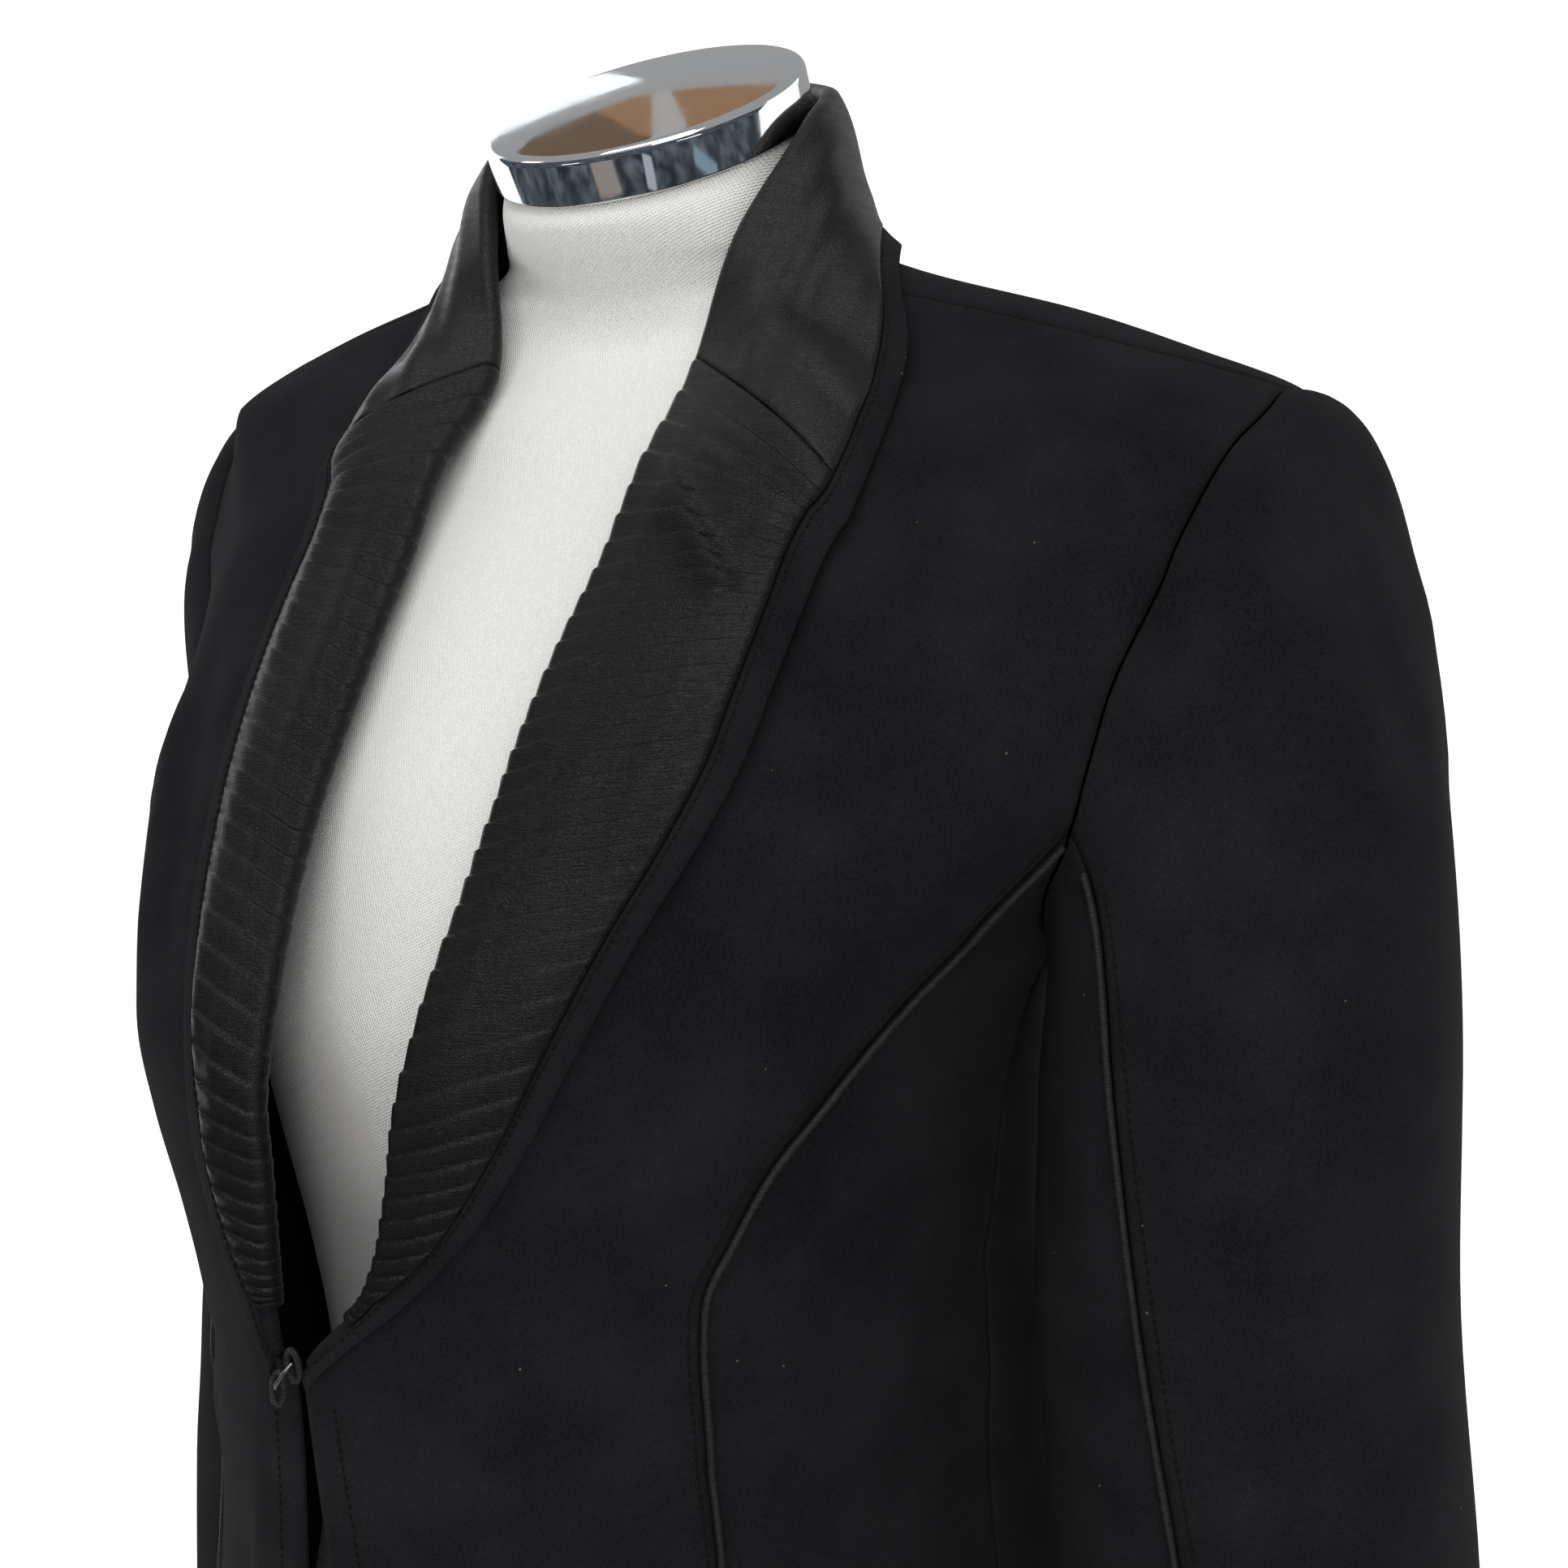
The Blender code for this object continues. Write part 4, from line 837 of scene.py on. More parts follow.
def make_steel():
    material, tree, shader = new_material("hook_steel", (0.30, 0.29, 0.27), 0.26, Metallic=1.0)
    worn = noise(tree, place(tree), 900.0, 3.0)
    tree.links.new(spread(tree, worn, (0.16, 0.16, 0.16), (0.46, 0.44, 0.40)), shader.inputs["Base Color"])
    tree.links.new(spread(tree, worn, 0.18, 0.40), shader.inputs["Roughness"])
    bump(tree, shader, worn, 0.00003)
    return material


def make_jersey():
    material, tree, shader = new_material(
        "cream_jersey", (0.80, 0.79, 0.765), 0.88,
        Specular_IOR_Level=0.2, Sheen_Weight=0.08, Sheen_Roughness=0.6,
    )
    wales = waves(tree, place(tree, (0, 28, 0)), 360.0, "X", 0.6)
    courses = waves(tree, place(tree, (0, 28, 0)), 360.0, "Z", 0.6)
    loops = sum_of(tree, wales, courses, "MULTIPLY")
    cream = spread(tree, loops, (0.74, 0.73, 0.70), (0.83, 0.82, 0.795), 0.0, 0.5)
    tree.links.new(cream, shader.inputs["Base Color"])
    fuzz = noise(tree, place(tree), 1400.0, 2.0)
    bump(tree, shader, sum_of(tree, loops, spread(tree, fuzz, 0.0, 0.3)), 0.00034, 1.0)
    return material


def make_chrome():
    material, tree, shader = new_material("polished_chrome", (0.78, 0.79, 0.80), 0.05, Metallic=1.0)
    haze = noise(tree, place(tree), 60.0, 4.0, 0.6)
    tree.links.new(spread(tree, haze, 0.03, 0.10), shader.inputs["Roughness"])
    bump(tree, shader, noise(tree, place(tree), 240.0, 2.0), 0.00002, 0.3)
    return material


THREAD_AND_PAINTED_SHADE, CORD, STEEL, JERSEY, CHROME = make_thread_and_painted_shade(), make_cord(), make_steel(), make_jersey(), make_chrome()
print("materials:", len(bpy.data.materials))

# %% [markdown]
# ## The flat cut of each piece
# Cloth is cut flat before it is sewn. Each sheet prints its size as it is made, measured on the
# finished surface: its length down the middle, its widest line across and its area. Tucked satin
# is longer when it is flat, because every tuck takes up a little cloth.


# %% [markdown]
# ## Body panels
# A panel lies between four seam lines on the body. A Coons patch fills it, which is the mesh form
# of easing cloth between its seams. Its edges turn in a little, as pressed seams do, and the
# creases of the tables above are added along the surface's own outward direction.

# %% Panels with creases
SEAM_DIP = 0.0004
SHOULDER_COLUMNS = 8
TOP_SHARES = (0.0, 0.09, 0.18, 0.27, 0.36, 0.43, SHOULDER_END, 0.60, 0.70, 0.80, 0.90, 1.0)
SHOULDER_INDEX = TOP_SHARES.index(SHOULDER_END)
UNDER_SHARES = (0.0, 0.20, 0.40, SIDE_SHARE, 0.70, 0.80, 0.90, 1.0)
SEAM_HEIGHTS = (
    -0.1634, -0.1850, -0.2050, -0.2220, -0.2377, -0.2528, -0.2660, -0.2757,
    -0.2885, -0.3036, -0.3400, -0.3800, -0.4300, -0.4900, -0.5550, HEM,
)


def dipped(outer, ways):
    """Turns the outermost line of the outer face in, so that a seam reads as a soft valley."""
    sunk = np.zeros(outer.shape[:2])
    sunk[[0, -1], :] = SEAM_DIP
    sunk[:, [0, -1]] = SEAM_DIP
    return outer - ways * sunk[..., None]


def panel(side, left, right, top, bottom):
    flat = coons(left, right, top, bottom)
    theta, z = flat[..., 0], flat[..., 1]
    ways = body_normal(theta, z)
    lifted = body_relief(side, theta, z)[..., None] * ways
    outer = inset(body(theta, z) + lifted, SEAM_GAP / 2)
    inner = inset(body(theta, z, -CLOTH) + lifted, SEAM_GAP / 2)
    return dipped(outer, ways), inner


def line(start, end, steps):
    return np.linspace(start, end, steps + 1)


def side_seam(start, heights):
    share = ((heights - heights[0]) / (heights[-1] - heights[0]))[:, None]
    return start * (1 - share) + np.array([SIDE_THETA, HEM]) * share


def front_centre_panel(side, k):
    neck = pair(*at_key(SHAWL[side], finer(KEY_ROWS[KEY_ROWS <= NECK_SIDE_ROW][::-1], k))[:, [6, 7]].T)
    below = front_edge(finer(steps_through((FRONT_EDGE[-1][0], -0.41, HEM), (1, 3)), k))
    left = np.concatenate([neck, line(neck[-1], below[0], k)[1:-1], below])
    over = armhole(ARMHOLE_TOP, finer(TOP_SHARES[SHOULDER_INDEX::-1], k))
    right = np.concatenate([over, princess(finer(SEAM_HEIGHTS, k)[1:])])
    steps = (SHOULDER_COLUMNS - 1) * k
    return panel(side, left, right, line(left[0], right[0], steps), line(left[-1], right[-1], steps))


def front_side_panel(side, k):
    heights = finer(SEAM_HEIGHTS, k)
    top = armhole(ARMHOLE_UNDER, finer(UNDER_SHARES[:2:-1], k))
    right = side_seam(top[-1], heights)
    left = princess(heights)
    return panel(side, left, right, top, line(left[-1], right[-1], len(top) - 1))


def back_panel(side, k):
    neck = pair(*at_key(SHAWL[side], finer(KEY_ROWS[KEY_ROWS >= NECK_SIDE_ROW][::-1], 2 * k))[:, [6, 7]].T)
    shoulder = line(neck[-1], armhole(ARMHOLE_TOP, SHOULDER_END), (SHOULDER_COLUMNS - 1) * k)
    over = armhole(ARMHOLE_TOP, finer(TOP_SHARES[SHOULDER_INDEX:], k)[1:])
    under = armhole(ARMHOLE_UNDER, finer(UNDER_SHARES[:4], k)[1:])
    seam = side_seam(under[-1], finer(SEAM_HEIGHTS, k))
    right = np.concatenate([shoulder, over, under, seam[1:]])
    upper = len(right) - len(seam)
    levels = np.concatenate([line(neck[0, 1], under[-1, 1], upper), seam[1:, 1]])
    left = pair(np.full(len(right), 180.0), levels)
    return panel(side, left, right, neck, line(left[-1], right[-1], len(neck) - 1))


# %% [markdown]
# ## Making the panels
# Each half has a front, a side front and a back. A tailor cuts both halves at once from doubled
# cloth, but these halves hang differently, so each is worked out by itself. A table says how much
# finer than its solid a panel is: the front, which the camera sees closest, is the finest.

# %% Make the panels
FRONT_FINENESS = 8
# Columns: name, the function that shapes it, how many times finer.
PANELS = (
    ("front_centre", front_centre_panel, FRONT_FINENESS),
    ("front_side", front_side_panel, 7),
    ("back", back_panel, 6),
)
PANEL_GRIDS = {}
for side in "LR":
    for name, shape, fineness in PANELS:
        grids = shape(side, fineness)
        PANEL_GRIDS[name, side] = grids
        made = add_sheet(f"{name}_{side}_cloth", *grids, side, WOOL, "wool")
        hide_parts(f"{name}_{side}")

# %% [markdown]
# ## Sleeves
# A two-piece sleeve has a top piece and an under piece. Its head is eased into the armhole, so it
# leaves the shoulder in a round sweep before it falls. Each piece is a fan of Bezier curves from
# the armhole to the first ring, then rings down to the cuff.

# %% Sleeve surfaces
BACK_SEAM_ANGLE = 160.0
ARMHOLE_LOW = -0.205
ARMHOLE_RISE = 0.125
HEAD_SHARES = (0.0, 0.06, 0.17, 0.33, 0.54, 0.78, 1.0)
SLEEVE_EASE = 0.0003
SLEEVE_FINENESS = 7
# The way the cloth leaves the armhole, at the shoulder and under the arm.
LEAVE_TOP = (1.0, 0.0, -0.08)
LEAVE_UNDER = (0.12, 0.0, -1.0)
LEAVE_OUTWARD = 0.25
# How far each end of the head's curve holds its own way, as a share of the reach.
HOLD_UNDER, HOLD_TOP, HOLD_ARM = 0.34, 0.16, 0.45
SLEEVE_SWING = {"L": (0.0, 0.0), "R": (-0.006, 0.040)}
# Columns: z, centre x, centre y, half width, half depth, front seam angle.
SLEEVE = (
    (-0.250, 0.2125, 0.000, 0.0640, 0.063, -17.0),
    (-0.310, 0.2130, -0.002, 0.0655, 0.062, -9.0),
    (-0.410, 0.2230, -0.008, 0.0670, 0.060, -1.0),
    (-0.500, 0.2300, -0.020, 0.0600, 0.056, 2.0),
    (CUFF, 0.2350, -0.036, 0.0490, 0.052, 3.0),
)


def sleeve_ring(under, share, swing, z):
    cx, cy, rx, ry, seam = at_key(SLEEVE, z)
    first, last = (BACK_SEAM_ANGLE, 360.0 + seam) if under else (seam, BACK_SEAM_ANGLE)
    angle = np.radians(first + (last - first) * share)
    x = cx + swing[0] + rx * np.sin(angle)
    y = cy + swing[1] - ry * np.cos(angle)
    return np.stack([x, y, np.full(len(share), z)], -1)


def sleeve_skin(under, share, swing, k):
    flat = armhole(ARMHOLE_UNDER if under else ARMHOLE_TOP, share)
    start = body(flat[:, 0], flat[:, 1])
    normal = body_normal(flat[:, 0], flat[:, 1])
    heights = finer(steps_through((SLEEVE[0][0], SLEEVE[2][0], CUFF), (2, 3)), k)
    lower = np.stack([sleeve_ring(under, share, swing, z) for z in heights])
    onward = sleeve_ring(under, share, swing, SLEEVE[0][0] - 0.03)
    up = np.clip((flat[:, 1] - ARMHOLE_LOW) / ARMHOLE_RISE, 0.0, 1.0)[:, None]
    ways = np.array(LEAVE_TOP) * up + np.array(LEAVE_UNDER) * (1 - up)
    leave = unit(ways + LEAVE_OUTWARD * normal * up)
    reach = np.linalg.norm(lower[0] - start, axis=1, keepdims=True)
    second = start + leave * reach * (HOLD_UNDER - (HOLD_UNDER - HOLD_TOP) * up)
    third = lower[0] + unit(lower[0] - onward) * reach * HOLD_ARM
    t = finer(HEAD_SHARES, k)[:-1, None, None]
    near_armhole = start * (1 - t) ** 3 + second * 3 * t * (1 - t) ** 2
    return np.concatenate([near_armhole + third * 3 * t**2 * (1 - t) + lower[0] * t**3, lower])


def sleeve(side, k):
    """Outer and inner grids of the top piece and of the under piece."""
    top = sleeve_skin(False, finer(TOP_SHARES, k), SLEEVE_SWING[side], k)
    below = sleeve_skin(True, finer(UNDER_SHARES, k), SLEEVE_SWING[side], k)
    tube = np.concatenate([top[:, :-1], below[:, :-1]], axis=1)
    across = np.roll(tube, -1, axis=1) - np.roll(tube, 1, axis=1)
    normal = unit(np.cross(across, -np.gradient(tube, axis=0)))
    count = tube.shape[1]
    made = []
    for columns, creases in (
        (np.arange(top.shape[1]), SLEEVE_CREASES[side]),
        (np.arange(top.shape[1] - 1, count + 1) % count, UNDER_SLEEVE_CREASES),
    ):
        skin, ways = tube[:, columns], normal[:, columns]
        lifted = relief(creases, way_along(skin), skin[..., 2])[..., None] * ways
        outer = inset(skin + lifted, SLEEVE_EASE)
        made.append((dipped(outer, ways), inset(skin + lifted - ways * CLOTH, SLEEVE_EASE)))
    return made


SLEEVE_GRIDS = {}
for side in "LR":
    for name, grids in zip(("sleeve_top", "sleeve_under"), sleeve(side, SLEEVE_FINENESS)):
        SLEEVE_GRIDS[name, side] = grids
        made = add_sheet(f"{name}_{side}_cloth", *grids, side, WOOL, "wool")
        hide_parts(f"{name}_{side}")

# %% [markdown]
# ## Under leaf of the shawl
# The wool leaf backs the satin. Its outer centimetre shows in front as a plain band, which frames
# the satin and stands level with it. So the outer face steps up just past the satin's seam.

# %% Wool leaf
LEAF_ROWS = finer(KEY_ROWS, 6)
NARROWEST = BAND * 1.2
LEAST_SATIN = 0.12
COLUMNS_UNDER_SATIN = 20
BAND_STARTS = 0.004
BAND_STEPS = (0.0, 0.2, 0.5, 0.8, 0.94, 1.0)
BAND_LIFTS = (1.0, 1.12, 1.15, 1.1, 0.95, 0.55)


def band_share(size):
    """The share of the upper leg where the satin ends and the band starts."""
    return np.clip(1 - BAND / np.maximum(size, NARROWEST), LEAST_SATIN, 1.0)


def wool_shares(size):
    stop = band_share(size)[:, None]
    inner = stop * np.linspace(0, 1, COLUMNS_UNDER_SATIN)
    outer = stop + BAND_STARTS + (1 - stop - BAND_STARTS) * np.array(BAND_STEPS)
    return np.concatenate([inner, outer], 1)


for side in "LR":
    middle, ways, _ = leaf_columns(side, LEAF_ROWS, wool_shares, 1)
    lifts = np.array([0.0] * (middle.shape[1] - len(BAND_LIFTS)) + list(BAND_LIFTS))
    outer = middle + ways * (LEAF / 2 + lifts * (LAYER_GAP + SATIN))[None, :, None]
    grids = inset(outer, SEAM_GAP / 2), inset(middle - ways * LEAF / 2, SEAM_GAP / 2)
    made = add_sheet(f"shawl_under_{side}_cloth", *grids, side, WOOL, "wool")
    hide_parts(f"shawl_under_{side}")

# %% [markdown]
# ## Tucked satin
# Tucks are folded across each lapel, about 9 mm apart: the solid's thirty-six, and three small
# ones more, down towards the closure. A tuck rises slowly and drops at its fold, like one tile over
# the next, and the folds show as small steps along the roll. Bump alone would leave that edge
# smooth, so the tucks are real. No two are quite the same height.

# %% Tuck rows
TUCKS = 39
TUCK_HEIGHT = 0.0010
TUCK_LOWEST_ROW = 2.1
SATIN_EASE = 0.0002
ROW_LENGTH = 0.030
LOWEST_TUCK, HIGHEST_TUCK = 0.70, 1.15
# Columns: share of a tuck, share of its height.
TUCK_SHAPE = (
    (0.00, 0.00), (0.10, 0.10), (0.28, 0.34), (0.48, 0.60),
    (0.66, 0.82), (0.80, 0.96), (0.88, 1.00), (0.94, 0.62),
)
uneven = np.random.default_rng(36)


def tuck_rows():
    rows, rise = [], []
    heights = uneven.uniform(LOWEST_TUCK, HIGHEST_TUCK, TUCKS)
    for i in range(TUCKS):
        for share, height in TUCK_SHAPE:
            rows.append(TUCK_LOWEST_ROW + (COLLAR_ROW - TUCK_LOWEST_ROW) * (i + share) / TUCKS)
            rise.append(height * heights[i])
    return np.array(rows + [COLLAR_ROW]), np.array(rise + [0.0])


# %% [markdown]
# ## Folds in the satin
# Satin creases softly. Long banks run beside the roll and beside the seam, and the left lapel has
# one crumpled corner, where the tucks were once folded over. That corner is a slanting ridge whose
# line jumps at every tuck.

# %% Satin folds
# Columns: place across the lapel and height up it, at the start and the end, depth, half width, bow.
SATIN_FOLDS = {
    "L": (
        (0.044, 0.225, 0.050, 0.305, 0.0013, 0.0035, 0.001),
        (0.043, 0.120, 0.047, 0.240, 0.0011, 0.0045, 0.001),
        (0.012, 0.060, 0.012, 0.340, 0.0009, 0.0050, 0.001),
        (0.034, 0.020, 0.030, 0.150, 0.0010, 0.0070, -0.002),
        (0.022, 0.110, 0.026, 0.210, 0.0008, 0.0060, 0.002),
        (0.020, 0.318, 0.044, 0.312, 0.0008, 0.0028, 0.001),
        (0.016, 0.307, 0.036, 0.303, 0.0009, 0.0026, 0.001),
    ),
    "R": (
        (0.012, 0.030, 0.012, 0.330, 0.0010, 0.0045, 0.001),
        (0.026, 0.060, 0.028, 0.210, 0.0010, 0.0050, 0.002),
        (0.030, 0.190, 0.026, 0.320, 0.0011, 0.0045, -0.002),
        (0.020, 0.010, 0.019, 0.080, 0.0009, 0.0050, 0.001),
    ),
}
CRUMPLE = (0.010, 0.306, 0.048, 0.246, 0.0034)
CRUMPLE_JUMP = 0.0032
CRUMPLE_SLOPE, CRUMPLE_DROP = 0.0065, 0.0022
CRUMPLE_FADE_IN, CRUMPLE_FADE_OUT = 0.3, 0.12
SATIN_COLUMNS = 25
ROLL_SINK = (0.0012, 0.0006, 0.0004, 0.0002)
EDGE_SWELL = (0.92, 0.72, 0.42, 0.15)


def satin_relief(side, rows, size, shares):
    upward = ((rows - TUCK_FIRST_ROW) * ROW_LENGTH)[:, None] * np.ones_like(shares)
    across = shares * size[:, None]
    height = relief(SATIN_FOLDS[side], across, upward)
    if side == "L":
        x1, z1, x2, z2, depth = CRUMPLE
        phase = (rows - TUCK_LOWEST_ROW) / (COLLAR_ROW - TUCK_LOWEST_ROW) * TUCKS % 1.0
        jump = CRUMPLE_JUMP * (phase - 0.5)[:, None]
        length = math.hypot(x2 - x1, z2 - z1)
        t = ((across - x1) * (x2 - x1) + (upward - z1) * (z2 - z1)) / length**2
        off = ((across - x1) * (z1 - z2) + (upward - z1) * (x2 - x1)) / length + jump
        bank = np.exp(-((off / np.where(off < 0, CRUMPLE_SLOPE, CRUMPLE_DROP)) ** 2))
        height += depth * bank * smooth_step(t / CRUMPLE_FADE_IN) * smooth_step((1 - t) / CRUMPLE_FADE_OUT)
    return np.maximum(height, 0.0)


def satin_shares(size):
    stop = (band_share(size) - SEAM_GAP / np.maximum(size, BAND))[:, None]
    return stop * np.linspace(0, 1, SATIN_COLUMNS)


def satin_leaf(side, rows, rise):
    middle, ways, size = leaf_columns(side, rows, satin_shares, 0)
    shares = satin_shares(size)
    folded = middle.shape[1] - shares.shape[1]
    height = np.concatenate([np.zeros((len(rows), folded)), satin_relief(side, rows, size, shares)], 1)
    hidden = len(ROLL_SINK)
    sink = np.zeros(middle.shape[1])
    sink[:hidden] = ROLL_SINK
    swell = np.ones(middle.shape[1])
    swell[:folded] = np.concatenate([np.zeros(hidden), np.linspace(0.1, 0.9, folded - hidden)])
    swell[-len(EDGE_SWELL):] = EDGE_SWELL
    near = LEAF / 2 + LAYER_GAP + SATIN_EASE + sink[None] + height
    far = near + SATIN + TUCK_HEIGHT * rise[:, None] * swell[None]
    return middle + ways * far[..., None], middle + ways * near[..., None]


rows, rise = tuck_rows()
for side, satin in (("L", SATIN_LEFT), ("R", SATIN_RIGHT)):
    grids = [inset(grid, SEAM_GAP / 2) for grid in satin_leaf(side, rows, rise)]
    made = add_sheet(f"lapel_tucked_{side}_satin", *grids, side, satin, "satin")
    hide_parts(f"lapel_tucked_{side}")

# %% [markdown]
# ## Plain upper collar
# Behind the tucks the satin is plain and cut in one piece round the neck. It takes the light in
# long soft folds that run along the fall. The left and right rows are joined at the centre back.

# %% Upper collar
# Columns as for the satin folds, with the height measured on from the tucked part.
COLLAR_FOLDS = (
    (0.030, 0.320, 0.020, 0.400, 0.0016, 0.0045, 0.002),
    (0.044, 0.318, 0.034, 0.385, 0.0013, 0.0040, -0.001),
    (0.014, 0.330, 0.010, 0.420, 0.0012, 0.0050, 0.002),
    (0.052, 0.330, 0.042, 0.400, 0.0011, 0.0050, 0.001),
    (0.030, 0.400, 0.034, 0.500, 0.0010, 0.0070, -0.003),
)
collar_rows = finer(KEY_ROWS[KEY_ROWS >= COLLAR_ROW], 8)
SATIN_FOLDS["L"] += COLLAR_FOLDS
SATIN_FOLDS["R"] += COLLAR_FOLDS[:4]
halves = [satin_leaf(side, collar_rows, np.zeros(len(collar_rows))) for side in "LR"]
flip = np.array([-1.0, 1.0, 1.0])
grids = [inset(np.concatenate([left, (right * flip)[-2::-1]]), SEAM_GAP / 2) for left, right in zip(*halves)]
made = add_sheet("collar_upper_satin", *grids, "L", SATIN_COLLAR, "satin")
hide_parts("collar_upper")

# %% [markdown]
# ## Round things along a line
# Piping, thread, cord and wire are all tubes. A curve with a bevel makes a tube too, but a mesh
# lets one tube swell and thin a little along its length, as a hand-filled piping does.

# %% Tubes
TIP = 0.6
ANY_WAY = (0.31, 0.52, 0.79)


def smoothed(points, steps):
    """More points on a smooth line through these."""
    keys = np.arange(len(points))
    table = np.column_stack([keys, points])
    return at_key(table, np.linspace(0, len(points) - 1, steps))


def ring_faces(rings, sides, tips=False):
    """Quads between rings that follow each other, and fans to a tip before and one after them."""
    index = np.arange(rings * sides).reshape(-1, sides)
    turned = np.roll(index, -1, 1)
    faces = np.stack([index[:-1], turned[:-1], turned[1:], index[1:]], -1).reshape(-1, 4).tolist()
    if tips:
        first, last = rings * sides, rings * sides + 1
        faces += [[first, turned[0, j], index[0, j]] for j in range(sides)]
        faces += [[last, index[-1, j], turned[-1, j]] for j in range(sides)]
    return faces


def tube(points, radius, sides=10, closed=False):
    """Points and faces of a round tube with pointed ends."""
    points = np.asarray(points, float)
    radius = np.broadcast_to(radius, len(points))
    ahead = np.roll(points, -1, 0) - np.roll(points, 1, 0) if closed else np.gradient(points, axis=0)
    ahead = unit(ahead)
    side_ways = np.empty_like(points)
    way = np.cross(ahead[0], ANY_WAY)
    for i, direction in enumerate(ahead):
        way = unit(way - direction * np.dot(way, direction))
        side_ways[i] = way
    over = np.cross(ahead, side_ways)
    angles = np.linspace(0, 2 * np.pi, sides, endpoint=False)
    circle = side_ways[:, None] * np.cos(angles)[:, None] + over[:, None] * np.sin(angles)[:, None]
    rings = (points[:, None] + circle * radius[:, None, None]).reshape(-1, 3)
    if closed:
        first, last = np.arange(sides), np.arange(len(rings) - sides, len(rings))
        join = np.stack([last, np.roll(last, -1), np.roll(first, -1), first], -1)
        return rings, ring_faces(len(points), sides) + join.tolist()
    tips = points[[0, -1]] + ahead[[0, -1]] * radius[[0, -1], None] * TIP * np.array([[-1], [1]])
    return np.concatenate([rings, tips]), ring_faces(len(points), sides, tips=True)


def add_tubes(name, tubes, material):
    """One object from several tubes."""
    points, faces, start = [], [], 0
    for rings, sides in tubes:
        points.append(rings)
        faces += [[corner + start for corner in face] for face in sides]
        start += len(rings)
    return add_object(name, np.concatenate(points), faces, material, np.ones(len(faces), bool))


# %% [markdown]
# ## Piping
# Piping is a bias strip of satin folded round a cord and caught in the seam. It shows as a thin
# raised line along the princess seam and down the front of the sleeve.

# %% Piping
PIPING_RADIUS = 0.0012
PIPING_LIFT = 0.0004
PIPING_ABOVE = 0.003
PIPING_BELOW = 0.001
PIPING_SIDES = 12
SWELL = 0.035
SWELL_TURNS = (7, 17, 41)
FULL_TURN = 6.28
# The piping of a sleeve starts at the second step of the head.
PIPING_START = 2 * SLEEVE_FINENESS


def hand_filled(count, seed):
    """Radius along a piping: it swells and thins by a few hundredths."""
    places = np.linspace(0, 1, count)
    own = np.random.default_rng(seed).uniform(0, FULL_TURN, len(SWELL_TURNS))
    swell = sum(np.sin(places * turns * FULL_TURN + start) for turns, start in zip(SWELL_TURNS, own))
    return PIPING_RADIUS * (1 + SWELL * swell)


def add_piping(name, points, side, seed):
    shape = tube(placed(points, side), hand_filled(len(points), seed), PIPING_SIDES)
    made = add_tubes(f"{name}_{side}_satin", [shape], PIPING)
    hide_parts(f"{name}_{side}")
    print(f"{name} {side}: {len(points)} rings")


for side in "LR":
    heights = finer([SEAM_HEIGHTS[0] - PIPING_ABOVE, *SEAM_HEIGHTS[1:-1], HEM + PIPING_BELOW], 12)
    theta, z = princess(heights).T
    lift = PIPING_RADIUS + PIPING_LIFT + body_relief(side, theta, z)
    add_piping("piping_princess", body(theta, z, lift), side, 5)
    outer, inner = SLEEVE_GRIDS["sleeve_top", side]
    away = unit(outer[:, 0] - inner[:, 0])
    seam = outer[:, 0] + away * (PIPING_RADIUS + LAYER_GAP + SEAM_DIP)
    add_piping("piping_sleeve", seam[PIPING_START:], side, 8)

# %% [markdown]
# ## Topstitching
# A row of stitches holds the seam allowance down beside each piping, along the front edges and
# just outside the satin. Each stitch is a short bead of thread whose ends dive into the cloth; the
# thread is coloured darker than the wool, as painted shade for the small dip that each stitch presses
# in. A dashed texture would need unwrapped cloth and would catch no light.

# %% Rows of stitches
STITCH_STEP = 0.0030
STITCH_LENGTH = 0.0022
THREAD_RADIUS = 0.00030
# Columns: share of a stitch's length, lift and radius as shares of the thread's.
STITCH_SHAPE = ((0.0, -0.6, 0.6), (0.18, 0.45, 0.95), (0.5, 0.8, 1.0), (0.82, 0.45, 0.95), (1.0, -0.6, 0.6))
# Distances from the seam or the edge.
BESIDE_PRINCESS, BESIDE_FRONT, BESIDE_SLEEVE = 0.0042, 0.0120, 0.0056
SLEEVE_ROW_START = 16
EDGE_STEPS = 4
# The row on the band: distance beyond the satin, more where the lapel is wide, and its lift.
BEYOND_SATIN, BEYOND_MORE, BAND_ROW_LIFT = 0.0016, 0.004, 1.13


def offset_line(grids, distance):
    """Points and outward directions at this distance along each row, from the first column."""
    outer, inner = grids
    walked = way_along(outer)
    found = [at_distance(points, way, distance) for points, way in zip(outer, walked)]
    column = int(np.argmin(abs(walked[len(walked) // 2] - distance)))
    return np.array(found), unit(outer[:, column] - inner[:, column])


def add_stitches(name, points, ways, side):
    """Evenly spaced stitches along a line that lies on cloth."""
    walked = way_along(points[None])[0]
    starts = np.arange(STITCH_STEP, walked[-1] - STITCH_STEP, STITCH_STEP)
    shares, lifts, radii = np.array(STITCH_SHAPE).T
    tubes = []
    for start in starts:
        stops = start + STITCH_LENGTH * shares
        lift = at_distance(ways, walked, stops) * (THREAD_RADIUS * lifts)[:, None]
        line_of_thread = placed(at_distance(points, walked, stops) + lift, side)
        tubes.append(tube(line_of_thread, THREAD_RADIUS * radii, 6))
    add_tubes(name, tubes, THREAD_AND_PAINTED_SHADE)
    print(f"{name}: {len(starts)} stitches")


